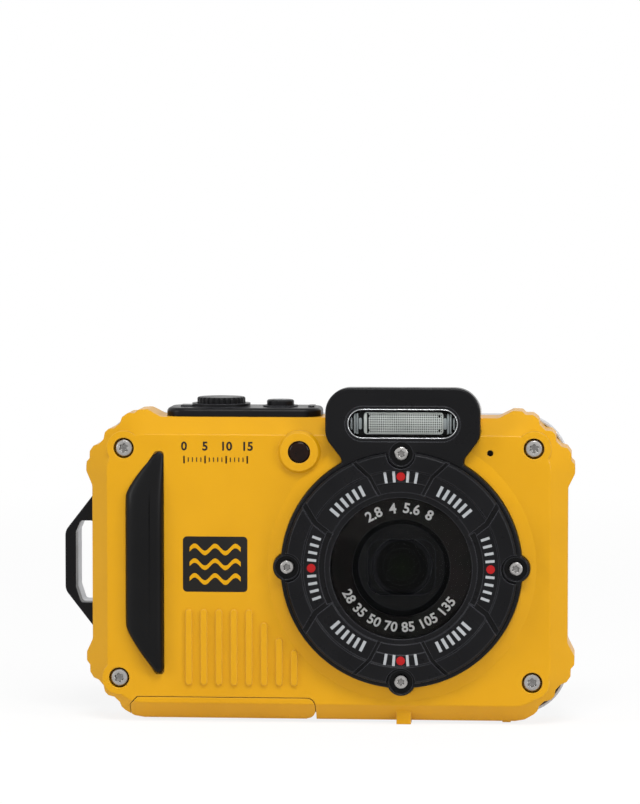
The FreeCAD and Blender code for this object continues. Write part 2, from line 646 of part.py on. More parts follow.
def front_housing():
    outer = front_body()
    hump = front_hump(0, SEAT_Y, SPLIT_Y)
    collar = cone_y(LENS_X, LENS_Z, BEZEL_RADIUS + FIT, COLLAR_RADIUS, FACE_Y - COLLAR_RISE, FACE_Y)
    lamp_boss = cone_y(AF_X, AF_Z, AF_BOSS_RADIUS, AF_FOOT_RADIUS, FACE_Y - AF_BOSS_RISE, FACE_Y)
    bosses = [disc_y(x, z, CORNER_BOSS_RADIUS, FACE_Y, 0) for x, z in CORNER_SCREWS]
    foot = block(FOOT_X - FOOT_WIDTH / 2, FOOT_X + FOOT_WIDTH / 2, FOOT_FRONT,
                 FOOT_FRONT + FOOT_LENGTH, 0, FOOT_TOP)
    stud = block(STUD_X - STUD_WIDTH / 2, STUD_X + STUD_WIDTH / 2, STUD_FRONT,
                 STUD_FRONT + STUD_LENGTH, BODY_BASE - STUD_DROP, BODY_BASE + WALL)
    shell = union([outer, hump, collar, lamp_boss, foot, stud] + bosses)

    cavity = bevelled_block(LEFT + WALL, RIGHT - WALL, BODY_BASE + WALL, TOP - WALL, CAVITY_RADIUS,
                            FACE_Y + WALL, SPLIT_Y)
    backing_y = SEAT_Y + SEAT_BACKING
    hump_room = front_hump(-WALL, backing_y, SPLIT_Y)
    shell = shell.cut(cavity.fuse(hump_room))

    columns = [disc_y(x, z, COLUMN_RADIUS, HEAD_SEAT - 1, SPLIT_Y) for x, z in CORNER_SCREWS]
    backing = bezel_blank(BACKING_EDGE, SEAT_Y, backing_y)
    lamp_tube = disc_y(AF_X, AF_Z, AF_LENS_RADIUS + 0.9, FACE_Y, FACE_Y + WALL + LAMP_LENGTH)
    mic_rim = disc_y(MIC_X, MIC_Z, MIC_RADIUS + FIT + MIC_RIM, FACE_Y + WALL / 2, FACE_Y + WALL + MIC_DEPTH)
    frame = block(DOOR_LEFT - DOOR_GAP - DOOR_FRAME - LATCH_TRAVEL, DOOR_RIGHT + DOOR_GAP + DOOR_FRAME,
                  FACE_Y, SPLIT_Y, BODY_BASE, DOOR_TOP + DOOR_GAP + DOOR_FRAME)
    glands = [disc_z(x, BUTTON_Y, GLAND_RADIUS, TOP - WALL - GLAND_LENGTH, TOP - WALL)
              for x in (SHUTTER_X, POWER_X)]
    inside = union([frame, backing, lamp_tube, mic_rim] + columns).common(union([outer, hump, collar]))
    shell = union([shell, inside] + glands)

    cuts = [bezel_blank(FIT, FACE_Y - 5, SEAT_Y),
            disc_y(LENS_X, LENS_Z, SEAT_BORE, SEAT_Y - 1, backing_y + 1),
            reflector_block(FIT, SEAT_Y - 1, backing_y + 1),
            extrude_y(grip_points(FIT), FACE_Y - 1, FACE_Y + GRIP_SEAT),
            disc_y(AF_X, AF_Z, AF_LENS_RADIUS, FACE_Y - 2, FACE_Y + WALL),
            disc_y(AF_X, AF_Z, LAMP_RADIUS + LAMP_FIT, FACE_Y, FACE_Y + WALL + LAMP_LENGTH + 1),
            disc_y(MIC_X, MIC_Z, MIC_HOLE_RADIUS, FACE_Y - 1, FACE_Y + WALL + 1),
            disc_y(MIC_X, MIC_Z, MIC_RADIUS + FIT, FACE_Y + WALL, FACE_Y + WALL + MIC_DEPTH + 1),
            extrude_y(door_outline(DOOR_GAP, False), FACE_Y - 1, DOOR_REAR + DOOR_GAP),
            plug(PLUG_GAP + SWING_GAP, PLUG_GAP, DOOR_TOP, DOOR_TOP + DOOR_FRAME + 1),
            latch_pocket(),
            disc_z(FOOT_X, TRIPOD_Y, BUSH_RADIUS, BODY_BASE - 1, BODY_BASE + WALL + 1)]
    cuts += [disc_y(x, z, SCREW_HEAD_RADIUS + SCREW_GAP, FACE_Y - 1, HEAD_SEAT)
             for x, z in CORNER_SCREWS]
    cuts += [disc_y(x, z, SCREW_SHANK_RADIUS + SHANK_GAP, HEAD_SEAT - 1, SPLIT_Y + 1)
             for x, z in CORNER_SCREWS]
    cuts += [disc_y(x, z, BEZEL_SCREW_SHANK + SHANK_GAP, SEAT_Y - 1, backing_y + 1)
             for x, z in ear_places()]
    cuts += [disc_z(x, BUTTON_Y, STEM_RADIUS + STEM_GAP, STEM_BOTTOM - 1, TOP + 1)
             for x in (SHUTTER_X, POWER_X)]
    cuts += [oring(x, 0.02) for x in (SHUTTER_X, POWER_X)]
    cuts += [strap_tabs(FIT, BAR_FRONT, BAR_COVER_BACK), strap_tabs(FIT, BAR_COVER_BACK, SPLIT_Y)]
    for cutter in cuts:
        shell = shell.cut(cutter)

    ribs = []
    for i, rib_top in enumerate(RIB_TOPS):
        points = rectangle(RIB_FIRST_X + i * RIB_PITCH, (RIB_BOTTOM + rib_top) / 2, RIB_WIDTH,
                           rib_top - RIB_BOTTOM, RIB_WIDTH / 2)
        ribs.append(extrude_y(points, FACE_Y - RIB_RISE, FACE_Y + 0.2))
    lug = extrude_y([(HINGE_X - PIN_RADIUS - 0.9, HINGE_Z - PIN_RADIUS - 0.9, 1.2),
                     (HINGE_X - PIN_RADIUS - 0.9, DOOR_TOP + DOOR_FRAME, 0),
                     (HINGE_X + PIN_RADIUS + 0.9, DOOR_TOP + DOOR_FRAME, 0),
                     (HINGE_X + PIN_RADIUS + 0.9, HINGE_Z - PIN_RADIUS - 0.9, 1.2)],
                    LUG_FRONT, LUG_FRONT + LUG_WIDTH)
    pin_bore = disc_y(HINGE_X, HINGE_Z, PIN_RADIUS + PIN_GAP, LUG_FRONT - 1, DOOR_REAR + DOOR_GAP + PIN_END)
    return union([shell, lug] + ribs).cut(pin_bore)


def grip_points(grow):
    top_tip = GRIP_INNER_X - GRIP_TIP_WIDTH
    return [(GRIP_INNER_X + grow, GRIP_BOTTOM - grow, 0.8), (GRIP_INNER_X + grow, GRIP_TOP + grow, 0.8),
            (top_tip - grow, GRIP_TOP + grow, 0.8), (GRIP_OUTER_X - grow, GRIP_STRAIGHT_TOP, 5),
            (GRIP_OUTER_X - grow, GRIP_STRAIGHT_BOTTOM, 5), (top_tip - grow, GRIP_BOTTOM - grow, 0.8)]


def grip_pad():
    """Crescent pad with a gently crowned front."""
    front = FACE_Y - GRIP_PROUD
    pad = extrude_y(grip_points(0), front, FACE_Y + GRIP_SEAT)
    middle = (GRIP_INNER_X + GRIP_OUTER_X) / 2
    crown = disc_z(middle, front + GRIP_CROWN_RADIUS, GRIP_CROWN_RADIUS, GRIP_BOTTOM - 1, GRIP_TOP + 1)
    return pad.common(crown)


def oring(x, grow):
    """Round seal in its groove, half way down the gland of a button."""
    z = TOP - WALL - GLAND_LENGTH / 2
    return Part.makeTorus(STEM_RADIUS + STEM_GAP + ORING_RADIUS, ORING_RADIUS + grow, V(x, BUTTON_Y, z))


def latch_channel(grow, left, right):
    return block(left, right, LATCH_Y - TONGUE_WIDTH / 2 - grow, LATCH_Y + TONGUE_WIDTH / 2 + grow,
                 TONGUE_Z - grow, TONGUE_Z + TONGUE_HEIGHT + grow)


def latch_pocket():
    """Room in the housing for the tongue of the locked latch."""
    left = DOOR_LEFT - LATCH_TRAVEL - LATCH_GAP
    return latch_channel(LATCH_GAP, left, DOOR_LEFT)


def strap_points(grow):
    """Outside of the strap bar, seen from the front."""
    return [(LEFT, BAR_BOTTOM, 0), (BAR_OUTER_X, BAR_STRAIGHT_BOTTOM, 3.0),
            (BAR_OUTER_X, BAR_STRAIGHT_TOP, 3.0), (LEFT, BAR_TOP, 0)]


def strap_bar_shape(front, back):
    """Loop round the slot, with a thin upright beside the housing."""
    slot_left = BAR_OUTER_X + BAR_THICKNESS
    slot = [(slot_left, SLOT_STRAIGHT_BOTTOM, SLOT_ROUND), (slot_left, SLOT_STRAIGHT_TOP, SLOT_ROUND),
            (slot_left + SLOT_CHAMFER, SLOT_TOP, SLOT_ROUND),
            (LEFT - BAR_ROOT, SLOT_TOP, SLOT_INNER_ROUND),
            (LEFT - BAR_ROOT, SLOT_BOTTOM, SLOT_INNER_ROUND),
            (slot_left + SLOT_CHAMFER, SLOT_BOTTOM, SLOT_ROUND)]
    return extrude_y(strap_points(0), front, back).cut(extrude_y(slot, front - 1, back + 1))


def strap_tabs(grow, front, back):
    """Two hooks of the strap bar in the housing's side wall."""
    middle = (front + back) / 2
    tabs = []
    for z in (BAR_STRAIGHT_BOTTOM - 2, BAR_STRAIGHT_TOP + 2):
        tabs.append(block(LEFT - grow, LEFT + TAB_DEPTH + grow, middle - TAB_LENGTH / 2 - grow,
                          middle + TAB_LENGTH / 2 + grow, z - TAB_HEIGHT / 2 - grow,
                          z + TAB_HEIGHT / 2 + grow))
    return tabs[0].fuse(tabs[1])


def strap_cover():
    return strap_bar_shape(BAR_FRONT, BAR_COVER_BACK).fuse(strap_tabs(0, BAR_FRONT, BAR_COVER_BACK))


def strap_bracket():
    tabs = strap_tabs(0, BAR_COVER_BACK, SPLIT_Y)
    return strap_bar_shape(BAR_COVER_BACK, BAR_BACK).fuse(tabs)


def seal_ring(outer, inner, back):
    """Endless seal in the joint of the housings; it follows the hump as well."""
    def loop(inset):
        flat = between(LEFT + inset, RIGHT - inset, BODY_BASE + inset, TOP - inset,
                       BACK_CORNER - inset)
        return union([extrude_y(flat, SPLIT_Y, back),
                      extrude_y(hump_points(-inset, SPLIT_Y), SPLIT_Y, back)])
    return loop(outer).cut(loop(inner))


DIRECTION_KEYS = {"up_key": 90, "left_key": 0, "down_key": 270, "right_key": 180}
KEY_NAMES = ["ok_key"] + list(DIRECTION_KEYS) + list(ROUND_KEYS) + list(ZOOM_KEYS)


def key_prism(name, grow, front, back):
    if name in ZOOM_KEYS:
        x, z = ZOOM_KEYS[name]
        points = rectangle(x, z, ZOOM_KEY_WIDTH + 2 * grow, ZOOM_KEY_HEIGHT + 2 * grow,
                           ZOOM_KEY_ROUND + grow)
        return extrude_y(points, front, back)
    if name in ROUND_KEYS:
        x, z = ROUND_KEYS[name]
        return disc_y(x, z, ROUND_KEY_RADIUS + grow, front, back)
    if name == "ok_key":
        return disc_y(KEY_X, KEY_PAD_Z, OK_RADIUS + grow, front, back)
    ring = disc_y(KEY_X, KEY_PAD_Z, PAD_OUTER + grow, front, back).cut(
        disc_y(KEY_X, KEY_PAD_Z, PAD_INNER - grow, front, back))
    half = math.radians(PAD_SPAN / 2) + grow / PAD_OUTER
    reach = 2 * PAD_OUTER
    turn = math.radians(DIRECTION_KEYS[name])
    wedge = [(KEY_X, KEY_PAD_Z, 0)]
    for angle in (turn - half, turn, turn + half):
        wedge.append((KEY_X + reach * math.cos(angle), KEY_PAD_Z + reach * math.sin(angle), 0))
    return ring.common(extrude_y(wedge, front, back))


def key(name):
    """Cap through the rear wall, held from inside by its flange."""
    flange_back = INNER_BACK - KEY_REST_GAP
    cap = key_prism(name, 0, flange_back - KEY_FLANGE_DEPTH, BACK_Y + KEY_PROUD)
    cap = cap.makeFillet(KEY_EDGE, edges_at(cap, 1, BACK_Y + KEY_PROUD))
    return cap.fuse(key_prism(name, KEY_FLANGE, flange_back - KEY_FLANGE_DEPTH, flange_back))


def display_rectangle(grow, radius):
    return rectangle(LCD_X, LCD_Z, LCD_WINDOW_WIDTH + 2 * grow, LCD_WINDOW_HEIGHT + 2 * grow, radius)


def rear_housing():
    outer = extrude_y(between(LEFT, RIGHT, BODY_BASE, TOP, BACK_CORNER), SPLIT_Y, BACK_Y)
    outer = outer.makeFillet(BACK_ROUND, edges_at(outer, 1, BACK_Y))
    rim = extrude_y(display_rectangle(LCD_RIM, LCD_ROUND + LCD_RIM), BACK_Y - 0.5, BACK_Y + LCD_RIM_RISE)
    rim = rim.makeFillet(0.5, edges_at(rim, 1, BACK_Y + LCD_RIM_RISE))
    foot = block(FOOT_X - FOOT_WIDTH / 2, FOOT_X + FOOT_WIDTH / 2, REAR_FOOT_FRONT,
                 REAR_FOOT_FRONT + FOOT_LENGTH - 0.6, 0, BODY_BASE + WALL)
    ribs = []
    for i in range(THUMB_RIBS):
        points = rectangle(THUMB_X, THUMB_Z + i * THUMB_RIB_PITCH, THUMB_RIB_LENGTH, THUMB_RIB_WIDTH,
                           THUMB_RIB_WIDTH / 2)
        ribs.append(extrude_y(points, BACK_Y - 0.2, BACK_Y + 0.5))
    shell = union([outer, rear_hump(), rim, foot] + ribs)
    cavity = extrude_y(between(LEFT + WALL, RIGHT - WALL, BODY_BASE + WALL, TOP - WALL, CAVITY_RADIUS),
                       SPLIT_Y, INNER_BACK)
    shell = shell.cut(cavity).cut(extrude_y(hump_points(-WALL, SPLIT_Y), SPLIT_Y, HUMP_BACK - WALL))
    columns = [disc_y(x, z, COLUMN_RADIUS, SPLIT_Y, INNER_BACK) for x, z in CORNER_SCREWS]
    shell = union([shell] + columns)
    tip = FACE_Y + SCREW_SINK + SCREW_LENGTH
    cuts = [disc_y(x, z, SCREW_SHANK_RADIUS + 0.05, SPLIT_Y - 1, tip + 0.5) for x, z in CORNER_SCREWS]
    cuts += [key_prism(name, KEY_GAP, INNER_BACK - 1, BACK_Y + 1) for name in KEY_NAMES]
    cuts += [seal_ring(SEAL_INSET, SEAL_INSET + SEAL_WIDTH, SPLIT_Y + SEAL_DEPTH),
             extrude_y(display_rectangle(FIT, LCD_ROUND), DISPLAY_LEDGE_Y, BACK_Y + 2),
             extrude_y(display_rectangle(-LCD_LEDGE, LCD_ROUND), INNER_BACK - 1, BACK_Y)]
    for i in range(GRILLE_SLOTS):
        x = HOOD_X + (i - (GRILLE_SLOTS - 1) / 2) * GRILLE_PITCH
        slot = rectangle(x, SPEAKER_Z, GRILLE_WIDTH, GRILLE_LENGTH, GRILLE_WIDTH / 2)
        cuts.append(extrude_y(slot, INNER_BACK - 1, BACK_Y + 1))
    for cutter in cuts:
        shell = shell.cut(cutter)
    return shell


def front_bezel():
    """Black ring plate and flash hood in one piece."""
    bezel = bezel_blank(0, BEZEL_FRONT, SEAT_Y)
    bezel = bezel.makeFillet(HOUSING_EDGE, edges_at(bezel, 1, BEZEL_FRONT))
    pocket = disc_y(LENS_X, LENS_Z, RING_RADIUS + FIT, BEZEL_FRONT - 1, RING_BACK)
    for x, z in ear_places():
        pocket = pocket.cut(disc_y(x, z, EAR_RADIUS, BEZEL_FRONT - 1, RING_BACK))
    well_floor = BEZEL_FRONT + EAR_WELL_DEPTH
    cuts = [pocket, disc_y(LENS_X, LENS_Z, BARREL_FLANGE_RADIUS + FIT, BEZEL_FRONT, SEAT_Y + 1),
            flash_slot(FLASH_TRIM, BEZEL_FRONT - 1, BEZEL_FRONT + FLASH_GLASS),
            reflector_block(FIT, BEZEL_FRONT, SEAT_Y + 1)]
    cuts += [disc_y(x, z, EAR_WELL, BEZEL_FRONT - 1, well_floor) for x, z in ear_places()]
    cuts += [disc_y(x, z, BEZEL_SCREW_SHANK + SHANK_GAP, well_floor - 1, SEAT_Y + 1)
             for x, z in ear_places()]
    for cutter in cuts:
        bezel = bezel.cut(cutter)
    return bezel


def turned(points):
    """Solid turned about the lens axis from corners (radius, y)."""
    corners = [V(LENS_X + r, y, LENS_Z) for r, y in points]
    face = Part.Face(Part.makePolygon(corners + corners[:1]))
    return face.revolve(V(LENS_X, 0, LENS_Z), V(0, 1, 0), 360)


def on_ring(radius, angle):
    """Point (x, z) about the lens axis; angles run from the top towards +X."""
    turn = math.radians(angle)
    return LENS_X + radius * math.sin(turn), LENS_Z + radius * math.cos(turn)


def ring_sector(inner, outer, middle, span, front, back):
    """Arc-shaped block about the lens axis."""
    ring = disc_y(LENS_X, LENS_Z, outer, front, back).cut(disc_y(LENS_X, LENS_Z, inner, front, back))
    wedge = [(LENS_X, LENS_Z, 0)]
    wedge += [on_ring(2 * outer, middle + turn) + (0,) for turn in (-span / 2, 0, span / 2)]
    return ring.common(extrude_y(wedge, front, back))


def ring_groove(width, angles, side):
    """Cranked groove between two pads of the ring."""
    front = RING_FRONT - 1
    back = RING_FRONT + TICK_STEP + GROOVE_DEPTH
    radii = (RING_RADIUS + 1, GROOVE_CRANK, RIM_RADIUS)
    stops = [on_ring(radius, side * angle) for radius, angle in zip(radii, angles)]
    pieces = [disc_y(*stops[1], width / 2, front, back)]
    for start, stop in zip(stops, stops[1:]):
        a = V(start[0], 0, start[1])
        b = V(stop[0], 0, stop[1])
        along = (b - a).normalize()
        across = V(-along.z, 0, along.x) * (width / 2)
        points = [(p.x, p.z, 0) for p in (a - across, a + across, b + across, b - across)]
        pieces.append(extrude_y(points, front, back))
    return union(pieces)


def lens_ring():
    """Ring with raised pads, a lower tick zone and two deep crescents."""
    shoulder = RING_RADIUS - RIM_WIDTH
    window_back = WINDOW_FRONT + WINDOW_THICKNESS + MASK_THICKNESS
    tick_face = RING_FRONT + TICK_STEP
    ring = turned([(WINDOW_RADIUS, window_back), (WINDOW_RADIUS, RING_FRONT + RIM_SINK),
                   (RIM_RADIUS, RING_FRONT + RIM_SINK), (RIM_RADIUS + RIM_SLOPE, tick_face),
                   (shoulder, tick_face), (shoulder + SHOULDER_SLOPE, RING_FRONT),
                   (RING_RADIUS - RING_CHAMFER, RING_FRONT), (RING_RADIUS, RING_FRONT + RING_CHAMFER),
                   (RING_RADIUS, RING_BACK), (RING_BORE, RING_BACK), (RING_BORE, window_back)])
    cuts = [ring_sector(RIM_RADIUS, TRENCH_OUTER, middle, TRENCH_SPAN, RING_FRONT - 1,
                        RING_FRONT + TRENCH_DEPTH) for middle in (90, 270)]
    plate_span = 2 * GROOVES[0][3]
    cuts += [ring_sector(RIM_RADIUS, PLATE_RADIUS, middle, plate_span, RING_FRONT - 1,
                         tick_face + PLATE_STEP) for middle in (0, 180)]
    for width, *angles in GROOVES:
        mirrored = [180 - angle for angle in angles]
        cuts += [ring_groove(width, half, side) for half in (angles, mirrored) for side in (1, -1)]
    cuts += [disc_y(x, z, EAR_RADIUS + FIT, RING_FRONT - 1, RING_BACK + 1) for x, z in ear_places()]
    for cutter in cuts:
        ring = ring.cut(cutter)
    return ring


def screw(x, z, front, head_radius, head_depth, shank_radius, length, drive_radius):
    """Domed screw with a six-lobe drive, pointing to the back."""
    head = disc_y(x, z, head_radius, front, front + head_depth)
    head = head.makeFillet(head_depth * 0.35, edges_at(head, 1, front))
    shank = disc_y(x, z, shank_radius, front + head_depth, front + length)
    hexagon = []
    for i in range(6):
        turn = math.radians(60 * i)
        hexagon.append((x + drive_radius * math.cos(turn), z + drive_radius * math.sin(turn), 0))
    return head.fuse(shank).cut(extrude_y(hexagon, front - 1, front + DRIVE_DEPTH))


def corner_screws():
    return [screw(x, z, FACE_Y + SCREW_SINK, SCREW_HEAD_RADIUS, SCREW_HEAD_DEPTH, SCREW_SHANK_RADIUS,
                  SCREW_LENGTH, DRIVE_RADIUS) for x, z in CORNER_SCREWS]


def bezel_screws():
    front = BEZEL_FRONT + EAR_WELL_DEPTH - BEZEL_SCREW_HEAD_DEPTH
    return [screw(x, z, front, BEZEL_SCREW_HEAD, BEZEL_SCREW_HEAD_DEPTH, BEZEL_SCREW_SHANK,
                  BEZEL_SCREW_LENGTH, DRIVE_RADIUS * 0.8) for x, z in ear_places()]


def lens_window():
    return disc_y(LENS_X, LENS_Z, WINDOW_RADIUS - FIT / 2, WINDOW_FRONT, WINDOW_FRONT + WINDOW_THICKNESS)


def lens_mask():
    front = WINDOW_FRONT + WINDOW_THICKNESS
    disc = disc_y(LENS_X, LENS_Z, WINDOW_RADIUS - FIT / 2, front, front + MASK_THICKNESS)
    return disc.cut(disc_y(LENS_X, LENS_Z, MASK_BORE, front - 1, front + 1))


def flash_trim():
    front = BEZEL_FRONT - FLASH_TRIM_PROUD
    return flash_slot(FLASH_TRIM, front, BEZEL_FRONT + FLASH_GLASS).cut(
        flash_slot(0, front - 1, BEZEL_FRONT + FLASH_GLASS + 1))


def flash_window():
    return flash_slot(0, BEZEL_FRONT, BEZEL_FRONT + FLASH_GLASS)


def flash_axis_y():
    return BEZEL_FRONT + FLASH_GLASS + REFLECTOR_DEPTH * 0.68


def flash_reflector():
    front = BEZEL_FRONT + FLASH_GLASS
    mouth = wire_y(rectangle(HOOD_X, FLASH_Z, REFLECTOR_LENGTH, REFLECTOR_HEIGHT, 0.3), front)
    throat = wire_y(rectangle(HOOD_X, FLASH_Z, REFLECTOR_LENGTH - 1.2, 2 * TUBE_RADIUS + 0.3, 0.3),
                    front + REFLECTOR_DEPTH - REFLECTOR_WALL)
    trough = Part.makeLoft([mouth, throat], True, True)
    shell = reflector_block(0, front, front + REFLECTOR_DEPTH).cut(trough)
    return shell.cut(flash_tube(0.03))


def flash_tube(grow=0):
    length = REFLECTOR_LENGTH + 2 * TUBE_SEAT
    return Part.makeCylinder(TUBE_RADIUS + grow, length + 2 * grow,
                             V(HOOD_X - length / 2 - grow, flash_axis_y(), FLASH_Z), V(1, 0, 0))


def chassis_front():
    return SPLIT_Y - CHASSIS_GAP - CHASSIS_THICKNESS


def flash_capacitor():
    y = chassis_front() - CAPACITOR_RADIUS - 0.05
    low = LENS_Z - CAPACITOR_LENGTH / 2
    body = disc_z(CAPACITOR_X, y, CAPACITOR_RADIUS, low, low + CAPACITOR_LENGTH)
    return body.makeFillet(0.5, edges_at(body, 2, low) + edges_at(body, 2, low + CAPACITOR_LENGTH))


def af_lamp_lens():
    return disc_y(AF_X, AF_Z, AF_LENS_RADIUS - FIT / 2, FACE_Y - AF_BOSS_RISE + 0.35, FACE_Y + WALL - 0.3)


def af_lamp_led():
    return disc_y(AF_X, AF_Z, LAMP_RADIUS, FACE_Y + WALL + 0.1, FACE_Y + WALL + LAMP_LENGTH)


def microphone():
    return disc_y(MIC_X, MIC_Z, MIC_RADIUS, FACE_Y + WALL, FACE_Y + WALL + MIC_DEPTH)


def top_plate():
    plate = extrude_z(between(PLATE_LEFT, PLATE_RIGHT, PLATE_FRONT, PLATE_REAR, PLATE_CORNER), TOP,
                      TOP + PLATE_THICKNESS)
    plate = plate.makeFillet(PLATE_EDGE, edges_at(plate, 2, TOP + PLATE_THICKNESS))
    surface = TOP + PLATE_THICKNESS
    pieces = [plate, disc_z(SHUTTER_X, BUTTON_Y, SHUTTER_BASE_RADIUS, TOP + 0.5, surface + SHUTTER_BASE_RISE),
              disc_z(POWER_X, BUTTON_Y, POWER_BASE_RADIUS, TOP + 0.5, surface + POWER_BASE_RISE)]
    for left, right in PLATE_PIPS:
        points = between(left, right, BUTTON_Y - PIP_LENGTH / 2, BUTTON_Y + PIP_LENGTH / 2, 0.6)
        pieces.append(extrude_z(points, surface - 0.5, surface + PIP_RISE))
    plate = union(pieces)
    for x, radius in ((SHUTTER_X, SHUTTER_RADIUS), (POWER_X, POWER_RADIUS)):
        plate = plate.cut(disc_z(x, BUTTON_Y, radius + BUTTON_GAP, TOP + PLATE_FLOOR, SHUTTER_TOP))
        plate = plate.cut(disc_z(x, BUTTON_Y, STEM_RADIUS + STEM_GAP, TOP - 1, SHUTTER_TOP))
    return plate


def button(x, radius, top, travel):
    """Round cap on a stem that runs through the plate and the gland."""
    bottom = TOP + PLATE_FLOOR + travel + 0.1
    cap = disc_z(x, BUTTON_Y, radius, bottom, top)
    cap = cap.makeFillet(0.45, edges_at(cap, 2, top))
    return cap.fuse(disc_z(x, BUTTON_Y, STEM_RADIUS, STEM_BOTTOM, bottom))


def shutter_button():
    """Shutter cap with teeth cut round its rim."""
    cap = button(SHUTTER_X, SHUTTER_RADIUS, SHUTTER_TOP, SHUTTER_TRAVEL)
    pitch = 2 * math.pi / SHUTTER_TEETH
    notch = SHUTTER_RADIUS * pitch / 4
    reach = SHUTTER_RADIUS + notch - SHUTTER_TOOTH_DEPTH
    for i in range(SHUTTER_TEETH):
        x = SHUTTER_X + reach * math.cos(i * pitch)
        y = BUTTON_Y + reach * math.sin(i * pitch)
        cap = cap.cut(disc_z(x, y, notch, SHUTTER_TOP - 1.5, SHUTTER_TOP + 1))
    return cap


def switch_board_top():
    return STEM_BOTTOM - SHUTTER_TRAVEL - SWITCH_RISE - 0.1


def button_board():
    """Small board with a switch under each button."""
    high = switch_board_top()
    board = block(SHUTTER_X - SWITCH_BOARD_LEFT, POWER_X + SWITCH_BOARD_RIGHT,
                  BUTTON_Y - SWITCH_BOARD_FRONT, chassis_front(), high - SWITCH_BOARD, high)
    return union([board, disc_z(SHUTTER_X, BUTTON_Y, SWITCH_RADIUS, high, high + SWITCH_RISE),
                  disc_z(POWER_X, BUTTON_Y, SWITCH_RADIUS, high, STEM_BOTTOM - POWER_TRAVEL - 0.1)])


def battery_door():
    """Door skin with the plug that closes the battery opening."""
    skin = extrude_y(door_outline(0, True), FACE_Y - 1, DOOR_REAR).common(front_body())
    floor = BODY_BASE + DOOR_FLOOR
    skin = skin.cut(plug(PLUG_GAP, PLUG_GAP, floor, DOOR_TOP + 1))
    door = skin.fuse(plug(0, 0, floor, PLUG_TOP))
    slide = LATCH_TRAVEL + LATCH_GAP
    half = LATCH_LENGTH / 2
    stem = LATCH_STEM / 2
    slot_side = LATCH_STEM_WIDTH / 2 + LATCH_GAP
    plate_side = LATCH_WIDTH / 2 + LATCH_GAP
    cuts = [block(HINGE_X - KNUCKLE_RADIUS - 0.3, DOOR_RIGHT + 1, LUG_FRONT - LUG_GAP,
                  LUG_FRONT + LUG_WIDTH + LUG_GAP, -1, DOOR_TOP + 1),
            disc_y(HINGE_X, HINGE_Z, PIN_RADIUS + PIN_GAP, PIN_FRONT - FIT, DOOR_REAR + 1),
            latch_channel(LATCH_GAP, DOOR_LEFT - 1, LATCH_X + stem + LATCH_GAP),
            block(LATCH_X - stem - slide, LATCH_X + stem + LATCH_GAP, LATCH_Y - slot_side,
                  LATCH_Y + slot_side, 0, TONGUE_Z + TONGUE_HEIGHT / 2),
            block(LATCH_X - half - slide, LATCH_X + half + LATCH_GAP, LATCH_Y - plate_side,
                  LATCH_Y + plate_side, 0, BODY_BASE + LATCH_SINK + LATCH_THICKNESS + 0.1)]
    for cutter in cuts:
        door = door.cut(cutter)
    return door


def door_gasket():
    return plug(GASKET_WIDTH, GASKET_WIDTH, PLUG_TOP - GASKET_HEIGHT, PLUG_TOP).cut(
        plug(0, 0, PLUG_TOP - 2, PLUG_TOP + 1))


def door_latch():
    """Grooved slider with a tongue; at rest the tongue is drawn in."""
    low = BODY_BASE + LATCH_SINK
    half = LATCH_LENGTH / 2
    stem = LATCH_STEM / 2
    slider = block(LATCH_X - half, LATCH_X + half, LATCH_Y - LATCH_WIDTH / 2, LATCH_Y + LATCH_WIDTH / 2,
                   low, low + LATCH_THICKNESS)
    for i in range(LATCH_RIBS):
        x = LATCH_X + (i - (LATCH_RIBS - 1) / 2) * 1.2
        slider = slider.cut(block(x - 0.25, x + 0.25, LATCH_Y - 1.4, LATCH_Y + 1.4, low - 1, low + 0.3))
    post = block(LATCH_X - stem, LATCH_X + stem, LATCH_Y - LATCH_STEM_WIDTH / 2,
                 LATCH_Y + LATCH_STEM_WIDTH / 2, low + LATCH_THICKNESS, TONGUE_Z + TONGUE_HEIGHT)
    tongue = latch_channel(0, DOOR_LEFT + 0.1, LATCH_X + stem)
    return slider.fuse(post).fuse(tongue)


def door_hinge_pin():
    return disc_y(HINGE_X, HINGE_Z, PIN_RADIUS, PIN_FRONT, DOOR_REAR + DOOR_GAP + PIN_END - 0.1)


def battery():
    x1 = BATTERY_LEFT + BATTERY_WIDTH
    y1 = BATTERY_FRONT + BATTERY_DEPTH
    points = between(BATTERY_LEFT, x1, BATTERY_FRONT, y1, 1.2)
    return extrude_z(points, BATTERY_BOTTOM, BATTERY_BOTTOM + BATTERY_HEIGHT)


def contact_strips(low, high):
    """Contacts between battery and cage, side by side."""
    middle = BATTERY_LEFT + BATTERY_WIDTH / 2
    strips = []
    for i in range(CONTACTS):
        x = middle + (i - (CONTACTS - 1) / 2) * CONTACT_PITCH
        strips.append(block(x - CONTACT_WIDTH / 2, x + CONTACT_WIDTH / 2, BATTERY_FRONT + 1.5,
                            BATTERY_FRONT + 3.5, low, high))
    return strips


def card_bounds(grow):
    front = BATTERY_FRONT + BATTERY_DEPTH + BAY_FIT + BAY_WALL
    shell = CARD_SHELL + CARD_FIT
    return (CARD_RIGHT - CARD_WIDTH - shell + grow, CARD_RIGHT + shell - grow,
            front + grow, front + CARD_DEPTH + 2 * shell - grow)


def card_slot():
    """Bent metal shell round the card, open below."""
    x0, x1, y0, y1 = card_bounds(0)
    low = BATTERY_BOTTOM + 1
    shell = block(x0, x1, y0, y1, low, BATTERY_BOTTOM + CARD_HEIGHT + CARD_SHELL + CARD_FIT)
    x0, x1, y0, y1 = card_bounds(CARD_SHELL)
    return shell.cut(block(x0, x1, y0, y1, low - 1, BATTERY_BOTTOM + CARD_HEIGHT + CARD_FIT))


